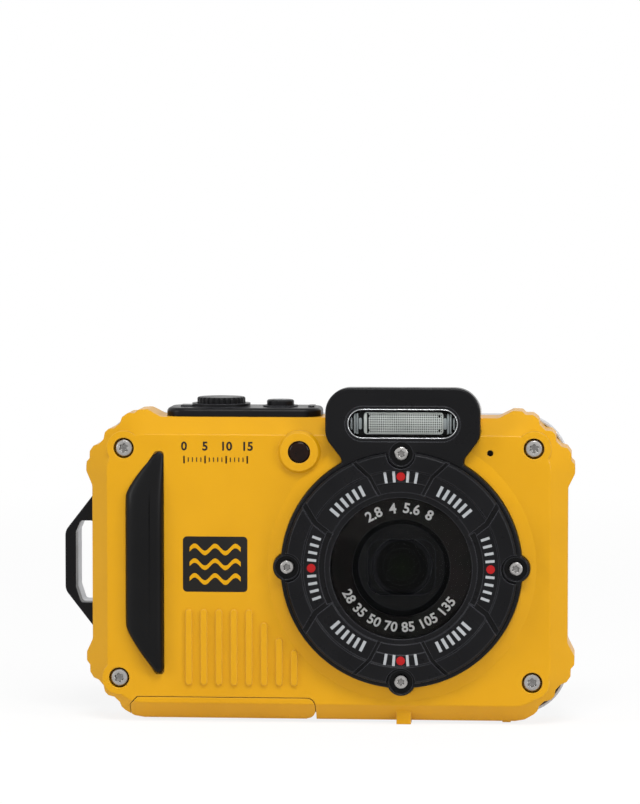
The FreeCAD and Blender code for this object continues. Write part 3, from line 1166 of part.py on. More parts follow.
def memory_card():
    x0, x1, y0, y1 = card_bounds(CARD_SHELL + CARD_FIT)
    z1 = BATTERY_BOTTOM + CARD_HEIGHT
    card = block(x0, x1, y0, y1, BATTERY_BOTTOM, z1)
    corner = 3.0
    cutter = extrude_y([(x0 - 1, z1 - corner - 1, 0), (x0 + corner + 1, z1 + 1, 0), (x0 - 1, z1 + 1, 0)],
                       y0 - 1, y1 + 1)
    return card.cut(cutter)


def usb_bounds(grow):
    x1 = card_bounds(0)[0] - 0.4 - grow
    y0 = card_bounds(0)[2] + grow
    return x1 - USB_WIDTH + 2 * grow, x1, y0, y0 + USB_DEPTH - 2 * grow


def usb_port():
    x0, x1, y0, y1 = usb_bounds(0)
    low = BATTERY_BOTTOM
    shell = block(x0, x1, y0, y1, low, low + USB_HEIGHT)
    a0, a1, b0, b1 = usb_bounds(USB_WALL)
    shell = shell.cut(block(a0, a1, b0, b1, low - 1, low + USB_HEIGHT - 1))
    middle = (y0 + y1) / 2
    tongue = block(x0 + 1.5, x1 - 1.5, middle - USB_TONGUE / 2, middle + USB_TONGUE / 2, low + 0.6,
                   low + USB_HEIGHT - 0.5)
    return shell.fuse(tongue)


def battery_bay():
    """Plastic cage round battery, card slot and socket, standing on the door shelf."""
    floor = DOOR_TOP + DOOR_GAP + DOOR_FRAME
    x1 = max(BATTERY_LEFT + BATTERY_WIDTH + BAY_FIT, card_bounds(0)[1]) + BAY_WALL
    y1 = card_bounds(0)[3] + BAY_WALL
    battery_top = BATTERY_BOTTOM + BATTERY_HEIGHT
    top = battery_top + CONTACT_HEIGHT
    cage = block(usb_bounds(0)[0] - BAY_WALL, x1, BATTERY_FRONT - BAY_FIT - BAY_WALL, y1, floor,
                 top + BAY_WALL)
    well = between(BATTERY_LEFT - BAY_FIT, BATTERY_LEFT + BATTERY_WIDTH + BAY_FIT, BATTERY_FRONT - BAY_FIT,
                   BATTERY_FRONT + BATTERY_DEPTH + BAY_FIT, 1.3)
    card = card_bounds(0)
    usb = usb_bounds(0)
    for cutter in (extrude_z(well, floor - 1, top),
                   block(*card, floor - 1, BATTERY_BOTTOM + CARD_HEIGHT + 1),
                   block(*usb, floor - 1, BATTERY_BOTTOM + USB_HEIGHT)):
        cage = cage.cut(cutter)
    cage = cage.cut(bezel_blank(BACKING_EDGE + BAY_CLEARANCE, SEAT_Y, BATTERY_FRONT - BAY_FIT))
    return union([cage] + contact_strips(battery_top + 0.05, top + 0.2))


def turned_lens(radius, thickness, dome, place, axis):
    """Glass disc with a domed first face; place is the middle of its thickness."""
    half = thickness / 2
    rise = V(0, 0, half + dome)
    arc = Part.Arc(rise, V(radius * 0.52, 0, half + dome * 0.74), V(radius, 0, half)).toShape()
    wire = Part.Wire([arc, Part.makeLine(V(radius, 0, half), V(radius, 0, -half)),
                      Part.makeLine(V(radius, 0, -half), V(0, 0, -half)),
                      Part.makeLine(V(0, 0, -half), rise)])
    glass = Part.Face(wire).revolve(V(0, 0, 0), V(0, 0, 1), 360)
    glass.Placement = FreeCAD.Placement(place, FreeCAD.Rotation(V(0, 0, 1), axis))
    return glass


def square_front():
    return WINDOW_FRONT + WINDOW_THICKNESS + MASK_THICKNESS + DISH_DEPTH


def prism_front():
    return square_front() + SQUARE_DEPTH + ELEMENT_THICKNESS + 0.65


def optic_y():
    return prism_front() + PRISM_LEG / 2


def chamber(grow, low, high):
    half = PRISM_LEG / 2 + grow
    return block(LENS_X - CHAMBER_HALF_WIDTH - grow, LENS_X + CHAMBER_HALF_WIDTH + grow, optic_y() - half,
                 optic_y() + half, low, high)


def lens_barrel():
    """Body of the folded optics with its round front flange."""
    front = square_front() - DISH_DEPTH
    body_front = SEAT_Y + SEAT_BACKING + BARREL_CLEARANCE
    body = block(LENS_X - BARREL_HALF_WIDTH, LENS_X + BARREL_HALF_WIDTH, body_front,
                 chassis_front() - BARREL_GAP, BARREL_BOTTOM, BARREL_TOP)
    body = body.fuse(disc_y(LENS_X, LENS_Z, BARREL_FLANGE_RADIUS, front, body_front + 0.5))
    prism_low = LENS_Z - PRISM_LEG / 2 - 0.1
    element_front = square_front() + SQUARE_DEPTH
    square = rectangle(LENS_X, LENS_Z, MASK_OPENING_WIDTH, MASK_OPENING_HEIGHT, MASK_OPENING_ROUND)
    cuts = [cone_y(LENS_X, LENS_Z, MASK_BORE, MASK_BORE - 1.2, front, square_front()),
            extrude_y(square, square_front() - 0.1, element_front),
            disc_y(LENS_X, LENS_Z, ELEMENT_RADIUS + ROD_GAP, element_front - 0.1,
                   element_front + ELEMENT_THICKNESS + 0.1),
            disc_y(LENS_X, LENS_Z, PRISM_LEG / 2, element_front, prism_front() + 1),
            block(LENS_X - PRISM_WIDTH / 2 - 0.1, LENS_X + PRISM_WIDTH / 2 + 0.1, prism_front() - 0.1,
                  prism_front() + PRISM_LEG + 0.1, prism_low, prism_low + PRISM_LEG + 0.2),
            chamber(0, BARREL_BOTTOM - 1, prism_low)]
    cuts += [disc_z(LENS_X + side * ROD_REACH, optic_y(), ROD_RADIUS + ROD_GAP, prism_low - 1,
                    prism_low + ROD_HOLD) for side in (-1, 1)]
    for cutter in cuts:
        body = body.cut(cutter)
    return body


def front_element():
    y = square_front() + SQUARE_DEPTH + ELEMENT_THICKNESS / 2
    return turned_lens(ELEMENT_RADIUS, ELEMENT_THICKNESS, ELEMENT_DOME, V(LENS_X, y, LENS_Z), V(0, -1, 0))


def prism():
    y0 = prism_front()
    z0 = LENS_Z - PRISM_LEG / 2
    corners = [V(LENS_X - PRISM_WIDTH / 2, y, z) for y, z in
               ((y0, z0), (y0, z0 + PRISM_LEG), (y0 + PRISM_LEG, z0), (y0, z0))]
    return Part.Face(Part.makePolygon(corners)).extrude(V(PRISM_WIDTH, 0, 0))


def lens_group(z, height):
    """Carriage on the two guide rods, with its glass."""
    low = z - height / 2
    carriage = chamber(-GROUP_GAP, low, low + height)
    for side in (-1, 1):
        carriage = carriage.cut(disc_z(LENS_X + side * ROD_REACH, optic_y(), ROD_RADIUS + ROD_GAP,
                                       low - 1, low + height + 1))
    carriage = carriage.cut(disc_z(LENS_X, optic_y(), GROUP_LENS_RADIUS, low - 1, low + height + 1))
    return carriage.fuse(turned_lens(GROUP_LENS_RADIUS, height - 0.8, 0.4, V(LENS_X, optic_y(), z),
                                     V(0, 0, 1)))


def guide_rods():
    high = LENS_Z - PRISM_LEG / 2 - 0.1 + ROD_HOLD
    return [disc_z(LENS_X + side * ROD_REACH, optic_y(), ROD_RADIUS, BARREL_BOTTOM + SENSOR_THICKNESS, high)
            for side in (-1, 1)]


def image_sensor():
    return chamber(-FIT / 2, BARREL_BOTTOM, BARREL_BOTTOM + SENSOR_THICKNESS)


def chassis():
    """Stamped frame that carries barrel, boards and battery cage."""
    edge = WALL + CHASSIS_EDGE
    corner = CAVITY_RADIUS - CHASSIS_EDGE
    low = DOOR_TOP + DOOR_GAP + DOOR_FRAME + 0.4
    y0 = chassis_front()
    plate = extrude_y(between(LEFT + edge, RIGHT - edge, low, TOP - edge, corner), y0,
                      y0 + CHASSIS_THICKNESS)
    posts = [disc_y(x, z, POST_RADIUS, y0 + 0.2, SPLIT_Y + BOARD_GAP) for x, z in board_posts()]
    posts += [disc_y(x, z, POST_RADIUS, y0 + 0.2, key_board_front()) for x, z in KEY_POSTS]
    plate = union([plate] + posts)
    for x, z in CORNER_SCREWS:
        plate = plate.cut(disc_y(x, z, COLUMN_RADIUS + 0.2, y0 - 1, SPLIT_Y + 1))
    for z in CHASSIS_WINDOWS:
        window = rectangle(BATTERY_LEFT + BATTERY_WIDTH / 2, z, BATTERY_WIDTH * 0.6, 9.0, 2.0)
        plate = plate.cut(extrude_y(window, y0 - 1, SPLIT_Y + 1))
    return plate


def display_width():
    return LCD_WINDOW_WIDTH - 2 * LCD_LEDGE + 2 * LCD_PANEL_MARGIN


def display_height():
    return LCD_WINDOW_HEIGHT - 2 * LCD_LEDGE + 2 * LCD_PANEL_MARGIN


def board_posts():
    reach_x = display_width() / 2 - 3
    reach_z = display_height() / 2 - 4
    return [(LCD_X + sx * reach_x, LCD_Z + sz * reach_z) for sx in (-1, 1) for sz in (-1, 1)]


def main_board():
    """Board with its chips on the display side."""
    y0 = SPLIT_Y + BOARD_GAP
    y1 = y0 + BOARD_THICKNESS
    board = extrude_y(rectangle(LCD_X, LCD_Z, display_width(), display_height(), 1.0), y0, y1)
    chips = [block(x - side / 2, x + side / 2, y1, y1 + CHIP_HEIGHT, z - side / 2, z + side / 2)
             for x, z, side in CHIPS]
    return union([board] + chips)


def lcd_panel():
    points = rectangle(LCD_X, LCD_Z, display_width(), display_height(), 0.8)
    return extrude_y(points, INNER_BACK - LCD_PANEL_DEPTH, INNER_BACK)


def lcd_window():
    return extrude_y(display_rectangle(0, LCD_ROUND), DISPLAY_LEDGE_Y, DISPLAY_LEDGE_Y + LCD_WINDOW_THICKNESS)


def sheet_back():
    """Key sheet ends where a pressed key reaches it."""
    return INNER_BACK - KEY_REST_GAP - KEY_FLANGE_DEPTH - KEY_TRAVEL - 0.05


def key_sheet():
    points = between(KEY_BOARD_LEFT, KEY_BOARD_RIGHT, KEY_BOARD_BOTTOM, KEY_BOARD_TOP, 1.5)
    return extrude_y(points, sheet_back() - SHEET_THICKNESS, sheet_back())


def key_board_front():
    return sheet_back() - SHEET_THICKNESS - DOME_RISE - 0.05 - KEY_BOARD_THICKNESS


def key_board():
    """Board with one snap dome under each key."""
    points = between(KEY_BOARD_LEFT, KEY_BOARD_RIGHT, KEY_BOARD_BOTTOM, KEY_BOARD_TOP, 1.0)
    y0 = key_board_front() + KEY_BOARD_THICKNESS
    board = extrude_y(points, key_board_front(), y0)
    places = [(KEY_X, KEY_PAD_Z)] + list(ROUND_KEYS.values()) + list(ZOOM_KEYS.values())
    middle = (PAD_INNER + PAD_OUTER) / 2
    for degrees in DIRECTION_KEYS.values():
        turn = math.radians(degrees)
        places.append((KEY_X + middle * math.cos(turn), KEY_PAD_Z + middle * math.sin(turn)))
    return union([board] + [disc_y(x, z, DOME_RADIUS, y0, y0 + DOME_RISE) for x, z in places])


def speaker():
    return disc_y(HOOD_X, SPEAKER_Z, SPEAKER_RADIUS, INNER_BACK - SPEAKER_DEPTH, INNER_BACK)


def tripod_bush():
    inside = BODY_BASE + WALL
    bush = disc_z(FOOT_X, TRIPOD_Y, BUSH_RADIUS - 0.02, BODY_BASE, BODY_BASE + BUSH_HEIGHT)
    bush = bush.fuse(disc_z(FOOT_X, TRIPOD_Y, BUSH_FLANGE_RADIUS, inside, inside + BUSH_FLANGE))
    return bush.cut(disc_z(FOOT_X, TRIPOD_Y, THREAD_RADIUS, BODY_BASE - 1, BODY_BASE + THREAD_DEPTH))


def all_nodes():
    nodes = {"front_housing": front_housing(), "rear_housing": rear_housing(),
             "body_seal": seal_ring(SEAL_INSET, SEAL_INSET + SEAL_WIDTH, SPLIT_Y + SEAL_DEPTH),
             "front_bezel": front_bezel(), "lens_ring": lens_ring(), "lens_window": lens_window(),
             "lens_mask": lens_mask(), "corner_screws": corner_screws(), "bezel_screws": bezel_screws(),
             "flash_trim": flash_trim(), "flash_window": flash_window(),
             "flash_reflector": flash_reflector(), "flash_tube": flash_tube(),
             "flash_capacitor": flash_capacitor(), "af_lamp_lens": af_lamp_lens(),
             "af_lamp_led": af_lamp_led(), "microphone": microphone(), "grip_pad": grip_pad(),
             "strap_cover": strap_cover(), "strap_bracket": strap_bracket(), "top_plate": top_plate(),
             "shutter_button": shutter_button(),
             "power_button": button(POWER_X, POWER_RADIUS, POWER_TOP, POWER_TRAVEL),
             "button_seals": [oring(x, 0) for x in (SHUTTER_X, POWER_X)],
             "button_board": button_board(),
             "battery_door": battery_door(), "door_gasket": door_gasket(), "door_latch": door_latch(),
             "door_hinge_pin": door_hinge_pin(), "battery": battery(), "battery_bay": battery_bay(),
             "memory_card": memory_card(),
             "card_slot": card_slot(), "usb_port": usb_port(), "lens_barrel": lens_barrel(),
             "front_element": front_element(), "prism": prism(), "guide_rods": guide_rods(),
             "zoom_group": lens_group(ZOOM_GROUP_Z, ZOOM_GROUP_HEIGHT),
             "focus_group": lens_group(FOCUS_GROUP_Z, FOCUS_GROUP_HEIGHT),
             "image_sensor": image_sensor(), "chassis": chassis(), "main_board": main_board(),
             "lcd_panel": lcd_panel(), "lcd_window": lcd_window(),
             "key_sheet": key_sheet(), "key_board": key_board(),
             "speaker": speaker(), "tripod_bush": tripod_bush()}
    for name in KEY_NAMES:
        nodes[name] = key(name)
    return nodes


os.makedirs("parts", exist_ok=True)
for node, shape in all_nodes().items():
    solids = Part.makeCompound(shape).Solids if isinstance(shape, list) else shape.Solids
    whole = solids[0] if len(solids) == 1 else Part.makeCompound(solids)
    whole.exportStep("parts/" + node + ".step")
    print(node, len(solids), "valid" if whole.isValid() else "NOT VALID", round(whole.Volume, 1))
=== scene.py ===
"""A rugged compact camera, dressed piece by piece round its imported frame."""

import math

import bmesh
import bpy
from mathutils import Matrix, Vector


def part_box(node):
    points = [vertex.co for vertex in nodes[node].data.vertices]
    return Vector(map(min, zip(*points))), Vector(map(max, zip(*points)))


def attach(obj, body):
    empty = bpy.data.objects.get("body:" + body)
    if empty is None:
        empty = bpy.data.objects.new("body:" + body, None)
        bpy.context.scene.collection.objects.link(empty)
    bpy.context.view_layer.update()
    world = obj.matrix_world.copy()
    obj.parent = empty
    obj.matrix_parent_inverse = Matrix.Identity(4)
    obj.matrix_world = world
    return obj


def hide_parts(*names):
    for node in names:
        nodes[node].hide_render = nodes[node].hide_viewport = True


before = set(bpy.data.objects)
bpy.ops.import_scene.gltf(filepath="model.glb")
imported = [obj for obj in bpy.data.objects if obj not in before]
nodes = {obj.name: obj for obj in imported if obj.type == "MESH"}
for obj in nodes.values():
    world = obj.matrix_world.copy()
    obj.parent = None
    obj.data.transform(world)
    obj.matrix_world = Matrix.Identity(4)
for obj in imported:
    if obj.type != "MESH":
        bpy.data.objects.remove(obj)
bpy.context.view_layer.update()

# Chassis and guide rods: a stamped steel frame that carries the boards and the
# optics, and turned pins pressed into their seats. The sheet keeps the faint
# lines of its rolling, as do the folded shells of card slot and socket.
MM = 0.001


def start_finish(name, colour, roughness, metallic=0.0):
    """New node material with its main shader."""
    made = bpy.data.materials.new(name)
    made.use_nodes = True
    shader = made.node_tree.nodes["Principled BSDF"]
    shader.inputs["Base Color"].default_value = (*colour, 1)
    shader.inputs["Roughness"].default_value = roughness
    shader.inputs["Metallic"].default_value = metallic
    return made, made.node_tree, shader


def add_noise(tree, size, detail=2.0, stretch=(1, 1, 1)):
    """Noise whose features are about size metres wide on the piece itself."""
    place = tree.nodes.new("ShaderNodeTexCoord")
    scale = tree.nodes.new("ShaderNodeMapping")
    scale.inputs["Scale"].default_value = stretch
    pattern = tree.nodes.new("ShaderNodeTexNoise")
    pattern.inputs["Scale"].default_value = 1 / size
    pattern.inputs["Detail"].default_value = detail
    tree.links.new(place.outputs["Object"], scale.inputs["Vector"])
    tree.links.new(scale.outputs["Vector"], pattern.inputs["Vector"])
    return pattern.outputs["Fac"]


def spread(tree, source, low, high):
    """Turns noise of 0.3 to 0.7 into a plain range of numbers."""
    scale = tree.nodes.new("ShaderNodeMapRange")
    scale.inputs["From Min"].default_value = 0.3
    scale.inputs["From Max"].default_value = 0.7
    scale.inputs["To Min"].default_value = low
    scale.inputs["To Max"].default_value = high
    tree.links.new(source, scale.inputs["Value"])
    return scale.outputs["Result"]


def vary_colour(tree, shader, source, low, high):
    """Lets the colour drift between two shades."""
    drift = tree.nodes.new("ShaderNodeMix")
    drift.data_type = "RGBA"
    drift.inputs["A"].default_value = (*low, 1)
    drift.inputs["B"].default_value = (*high, 1)
    tree.links.new(spread(tree, source, 0, 1), drift.inputs["Factor"])
    tree.links.new(drift.outputs["Result"], shader.inputs["Base Color"])


def emboss(tree, shader, source, depth, edge=0.0):
    """Relief of depth metres, over edges softened to a radius of edge metres."""
    relief = tree.nodes.new("ShaderNodeBump")
    relief.inputs["Distance"].default_value = depth
    tree.links.new(source, relief.inputs["Height"])
    if edge:
        soft = tree.nodes.new("ShaderNodeBevel")
        soft.samples = 6
        soft.inputs["Radius"].default_value = edge
        tree.links.new(soft.outputs["Normal"], relief.inputs["Normal"])
    tree.links.new(relief.outputs["Normal"], shader.inputs["Normal"])


def moulded(name, low, high, roughness, grain, depth, edge=0.0, drift=0.02):
    """Moulded plastic: two close shades, a fine grain and a little uneven gloss."""
    made, tree, shader = start_finish(name, low, roughness[0])
    shader.inputs["Specular IOR Level"].default_value = 0.12
    vary_colour(tree, shader, add_noise(tree, drift), low, high)
    gloss = spread(tree, add_noise(tree, drift / 4, 4.0), *roughness)
    tree.links.new(gloss, shader.inputs["Roughness"])
    emboss(tree, shader, add_noise(tree, grain, 3.0), depth, edge)
    return made


def metal(name, low, high, roughness, stretch, depth, edge=0.0):
    """Metal with fine lines; stretch is largest across the lines."""
    made, tree, shader = start_finish(name, low, roughness[0], metallic=1.0)
    lines = add_noise(tree, 4 * MM, 4.0, stretch)
    vary_colour(tree, shader, lines, low, high)
    tree.links.new(spread(tree, lines, *roughness), shader.inputs["Roughness"])
    emboss(tree, shader, lines, depth, edge)
    return made


def dress(finish, *names):
    """Gives CAD nodes their finish."""
    for name in names:
        for held in nodes[name].material_slots:
            held.material = finish


rolled_steel = metal("rolled_steel", (0.42, 0.43, 0.44), (0.55, 0.56, 0.57), (0.28, 0.42),
                     stretch=(1, 4, 30), depth=2e-6)
pin_steel = metal("pin_steel", (0.55, 0.55, 0.56), (0.68, 0.68, 0.69), (0.16, 0.26),
                  stretch=(1, 20, 20), depth=1e-6)
dress(rolled_steel, "chassis", "card_slot", "usb_port")
dress(pin_steel, "guide_rods", "door_hinge_pin")

# Circuit boards: green solder mask over copper on glass-fibre laminate. The
# tracks show as paler lines that stand a hair above the fields between them.
mask_green = (0.012, 0.085, 0.030)
track_green = (0.020, 0.135, 0.050)
board_finish, tree, shader = start_finish("solder_mask", mask_green, 0.35)
tracks = tree.nodes.new("ShaderNodeTexBrick")
tracks.offset = 0.37
tracks.inputs["Scale"].default_value = 260
tracks.inputs["Mortar Size"].default_value = 0.012
tracks.inputs["Color1"].default_value = (*mask_green, 1)
tracks.inputs["Color2"].default_value = (*mask_green, 1)
tracks.inputs["Mortar"].default_value = (*track_green, 1)
place = tree.nodes.new("ShaderNodeTexCoord")
lay_flat = tree.nodes.new("ShaderNodeMapping")
lay_flat.inputs["Rotation"].default_value = (math.radians(90), 0, 0)
tree.links.new(place.outputs["Object"], lay_flat.inputs["Vector"])
tree.links.new(lay_flat.outputs["Vector"], tracks.inputs["Vector"])
tree.links.new(tracks.outputs["Color"], shader.inputs["Base Color"])
emboss(tree, shader, tracks.outputs["Fac"], depth=3e-5)
dress(board_finish, "main_board", "key_board", "button_board")

# Folded optics: a black glass-filled barrel behind the lens window holds the
# front glass, the prism and two carriages that run down to the image sensor.


def paint_edge_highlight(made, radius, shade, strength):
    """Paints a highlight onto the edges of a finish: a lighter shade over about radius metres."""
    tree = made.node_tree
    target = tree.nodes["Principled BSDF"].inputs["Base Color"]
    soft = tree.nodes.new("ShaderNodeBevel")
    soft.samples = 6
    soft.inputs["Radius"].default_value = radius
    flat = tree.nodes.new("ShaderNodeNewGeometry")
    turn = tree.nodes.new("ShaderNodeVectorMath")
    turn.operation = "DOT_PRODUCT"
    tree.links.new(soft.outputs["Normal"], turn.inputs[0])
    tree.links.new(flat.outputs["Normal"], turn.inputs[1])
    reach = tree.nodes.new("ShaderNodeMapRange")
    reach.inputs["From Min"].default_value = 0.99
    reach.inputs["From Max"].default_value = 0.85
    reach.inputs["To Max"].default_value = strength
    tree.links.new(turn.outputs["Value"], reach.inputs["Value"])
    edge_highlight = tree.nodes.new("ShaderNodeMix")
    edge_highlight.data_type = "RGBA"
    edge_highlight.inputs["B"].default_value = (*shade, 1)
    tree.links.new(target.links[0].from_socket, edge_highlight.inputs["A"])
    tree.links.new(reach.outputs["Result"], edge_highlight.inputs["Factor"])
    tree.links.new(edge_highlight.outputs["Result"], target)


barrel_black = moulded("barrel_black", (0.006, 0.006, 0.007), (0.012, 0.012, 0.013), (0.45, 0.6),
                       grain=2e-4, depth=8e-6)
# The barrel's edges are lightened with a painted highlight.
paint_edge_highlight(barrel_black, 5.0e-4, (0.034, 0.036, 0.044), strength=0.8)
dress(barrel_black, "lens_barrel")

# Its glass is dark, with the rings of the elements' edges about the axis, lightened and tinted green with
# painted reflections.
LENS_X = 18.68
LENS_Z = 35.27
LENS_AXIS = Vector((LENS_X * MM, 0, LENS_Z * MM))
GLASS_RADIUS = 9 * MM
coated_glass, tree, shader = start_finish("coated_glass", (0.002, 0.004, 0.002), 0.28)
shader.inputs["Specular IOR Level"].default_value = 0.06
place = tree.nodes.new("ShaderNodeTexCoord")
centred = tree.nodes.new("ShaderNodeMapping")
centred.vector_type = "TEXTURE"
centred.inputs["Location"].default_value = LENS_AXIS
centred.inputs["Scale"].default_value = (GLASS_RADIUS, 1, GLASS_RADIUS)
across = tree.nodes.new("ShaderNodeVectorMath")
across.operation = "MULTIPLY"
across.inputs[1].default_value = (1, 0, 1)
reach = tree.nodes.new("ShaderNodeVectorMath")
reach.operation = "LENGTH"
rings = tree.nodes.new("ShaderNodeValToRGB")
tree.links.new(place.outputs["Object"], centred.inputs["Vector"])
tree.links.new(centred.outputs["Vector"], across.inputs[0])
tree.links.new(across.outputs["Vector"], reach.inputs[0])
tree.links.new(reach.outputs["Value"], rings.inputs["Fac"])
tree.links.new(rings.outputs["Color"], shader.inputs["Base Color"])
rings.color_ramp.elements[0].color = (0.0050, 0.0085, 0.0020, 1)
rings.color_ramp.elements[1].color = (0.0100, 0.0100, 0.0135, 1)
ring_edges_and_reflections = [    # share of the glass's radius, shade there
    (0.10, (0.0022, 0.0045, 0.0010)), (0.30, (0.0016, 0.0028, 0.0010)),
    (0.32, (0.0060, 0.0070, 0.0060)), (0.35, (0.0012, 0.0016, 0.0010)),
    (0.43, (0.0012, 0.0014, 0.0012)), (0.45, (0.0070, 0.0072, 0.0078)),
    (0.48, (0.0015, 0.0015, 0.0018)), (0.62, (0.0018, 0.0018, 0.0022)),
    (0.66, (0.0140, 0.0140, 0.0170)), (0.72, (0.0100, 0.0100, 0.0130)),
]
for share, shade in ring_edges_and_reflections:
    rings.color_ramp.elements.new(share).color = (*shade, 1)
dress(coated_glass, "front_element", "prism")

# Carriages and sensor: the two lens groups sit in black slides on their rods,
# and the sensor is a bare chip under a glass that shimmers green and violet.
carriage_black = moulded("carriage_black", (0.010, 0.010, 0.011), (0.016, 0.016, 0.018), (0.4, 0.55),
                         grain=2e-4, depth=6e-6)
dress(carriage_black, "zoom_group", "focus_group")
sensor_finish, tree, shader = start_finish("sensor_glass", (0.02, 0.05, 0.05), 0.12)
vary_colour(tree, shader, add_noise(tree, 0.003, 1.0), (0.015, 0.045, 0.040), (0.050, 0.030, 0.060))
dress(sensor_finish, "image_sensor")

# Power: a shrink-wrapped cell in its moulded cage, and the memory card beside
# it. The flash capacitor has the same dark sleeve as the cell; the speaker and
# the microphone are capsules of the cage's plastic, held in their own seats.
wrap_grey = moulded("battery_wrap", (0.045, 0.047, 0.052), (0.060, 0.062, 0.067), (0.3, 0.42),
                    grain=6e-4, depth=8e-6)
dress(wrap_grey, "battery", "flash_capacitor")
cage_black = moulded("cage_black", (0.014, 0.014, 0.015), (0.022, 0.022, 0.024), (0.42, 0.58),
                     grain=2e-4, depth=1e-5)
dress(cage_black, "battery_bay", "speaker", "microphone")
card_blue = moulded("card_plastic", (0.010, 0.014, 0.030), (0.014, 0.020, 0.040), (0.35, 0.45),
                    grain=1.5e-4, depth=5e-6)
dress(card_blue, "memory_card")

# Front housing: a moulded shell in warm yellow lacquer with softened bevels,
# screwed to the rear one. The lacquer shows a faint orange peel, its shade and
# its gloss are a little uneven, and its edges are paler with a painted highlight.
lacquer_low = (0.570, 0.280, 0.0022)
lacquer_high = (0.615, 0.306, 0.0032)
yellow_lacquer, tree, shader = start_finish("yellow_lacquer", lacquer_low, 0.42)
shader.inputs["Coat Weight"].default_value = 0.14
shader.inputs["Coat Roughness"].default_value = 0.14
shader.inputs["Specular IOR Level"].default_value = 0.13
vary_colour(tree, shader, add_noise(tree, 0.018), lacquer_low, lacquer_high)
tree.links.new(spread(tree, add_noise(tree, 0.006, 4.0), 0.34, 0.44), shader.inputs["Roughness"])
emboss(tree, shader, add_noise(tree, 2.2e-4, 3.0), depth=7e-6, edge=3.2e-4)
paint_edge_highlight(yellow_lacquer, 3.0e-4, (0.82, 0.50, 0.08), strength=0.4)
dress(yellow_lacquer, "front_housing")

# Rear housing and strap bracket: the same moulding in silver lacquer, whose
# metal flake gives the colour a fine sparkle.
silver_lacquer, tree, shader = start_finish("silver_lacquer", (0.5, 0.5, 0.5), 0.38, 0.55)
vary_colour(tree, shader, add_noise(tree, 1.2e-4, 1.0), (0.44, 0.45, 0.47), (0.60, 0.61, 0.63))
tree.links.new(spread(tree, add_noise(tree, 0.005, 4.0), 0.32, 0.44), shader.inputs["Roughness"])
emboss(tree, shader, add_noise(tree, 2.0e-4, 3.0), depth=5e-6, edge=3.0e-4)
dress(silver_lacquer, "rear_housing", "strap_bracket")

# Seals: soft moulded silicone, pressed into grooves of the housings and round
# the buttons. The door's gasket and the buttons' seals are red, so that a gap
# or a hair on them is seen; the body seal and the sheet of the keys are grey.
red_silicone = moulded("red_silicone", (0.30, 0.035, 0.020), (0.36, 0.045, 0.028), (0.5, 0.65),
                       grain=3e-4, depth=8e-6)
dress(red_silicone, "door_gasket", "button_seals")
grey_silicone = moulded("grey_silicone", (0.030, 0.030, 0.032), (0.042, 0.042, 0.044), (0.5, 0.65),
                        grain=3e-4, depth=8e-6)
dress(grey_silicone, "body_seal", "key_sheet")

# Tripod bush: turned brass, set from inside into the floor of the front
# housing. The marks of the tool run as fine rings about its upright axis.
brass = metal("turned_brass", (0.62, 0.43, 0.16), (0.74, 0.53, 0.22), (0.22, 0.34),
              stretch=(6, 6, 40), depth=4e-6)
dress(brass, "tripod_bush")

# Front bezel with its flash hood, control plate, strap cover: glass-filled
# black plastic with a fine spark-eroded grain, screwed on over the lacquer.
bezel_black = moulded("bezel_black", (0.0030, 0.0030, 0.0036), (0.0052, 0.0052, 0.0060), (0.26, 0.36),
                      grain=1.6e-4, depth=7e-6, edge=3.5e-4)
# Its edges are lightened with a painted highlight.
paint_edge_highlight(bezel_black, 3.5e-4, (0.050, 0.051, 0.058), strength=0.8)
dress(bezel_black, "front_bezel", "top_plate", "strap_cover")

# Lens ring: black plastic, moulded in one piece with its satin pads and the
# lower printed zone, and seated in the bezel's pocket. It has a fine grain.
ring_black, tree, shader = start_finish("ring_black", (0.006, 0.006, 0.007), 0.30)
shader.inputs["Specular IOR Level"].default_value = 0.12
vary_colour(tree, shader, add_noise(tree, 0.01), (0.0028, 0.0028, 0.0036), (0.0052, 0.0052, 0.0062))
tree.links.new(spread(tree, add_noise(tree, 0.004, 4.0), 0.25, 0.35), shader.inputs["Roughness"])
emboss(tree, shader, add_noise(tree, 1.4e-4, 3.0), depth=5e-6, edge=4.0e-4)
# Its edges are lightened with a painted highlight.
paint_edge_highlight(ring_black, 3.5e-4, (0.055, 0.056, 0.064), strength=0.8)
dress(ring_black, "lens_ring")

# Marks of the ring: pale grey ticks and four red dots, printed in the tick
# zone with thick ink. Each row of ticks fans out evenly about the lens axis.
# TICK_FACE is the depth of that zone, INK the thickness of all printed marks.
TICK_FACE = -13.3 * MM
INK = 0.05 * MM


def open_tree(name, **sizes):
    """Empty Geometry Nodes tree with one named input for each size and its kind."""
    tree = bpy.data.node_groups.new(name, "GeometryNodeTree")
    for label, kind in sizes.items():
        label = label.replace("_", " ")
        tree.interface.new_socket(label, in_out="INPUT", socket_type="NodeSocket" + kind)
    tree.interface.new_socket("Geometry", in_out="OUTPUT", socket_type="NodeSocketGeometry")
    return tree, tree.nodes.new("NodeGroupInput").outputs


def add_node(tree, kind, settings=None, **joined):
    """Adds a node; joined gives its inputs, by name or as _0 and _1, a value or an output."""
    node = tree.nodes.new(kind)
    for key, value in (settings or {}).items():
        setattr(node, key, value)
    for label, value in joined.items():
        socket = node.inputs[int(label[1:]) if label[1:].isdigit() else label.replace("_", " ")]
        if isinstance(value, bpy.types.NodeSocket):
            tree.links.new(value, socket)
        else:
            socket.default_value = value
    return node.outputs[0]


def calc(tree, operation, a, b=0.0):
    """Result of one sum inside a tree."""
    return add_node(tree, "ShaderNodeMath", {"operation": operation}, _0=a, _1=b)


def close_tree(tree, instances, finish):
    """Ends a tree: real geometry, with its finish."""
    real = add_node(tree, "GeometryNodeRealizeInstances", Geometry=instances)
    dressed = add_node(tree, "GeometryNodeSetMaterial", Geometry=real, Material=finish)
    out = tree.nodes.new("NodeGroupOutput")
    tree.links.new(dressed, out.inputs["Geometry"])


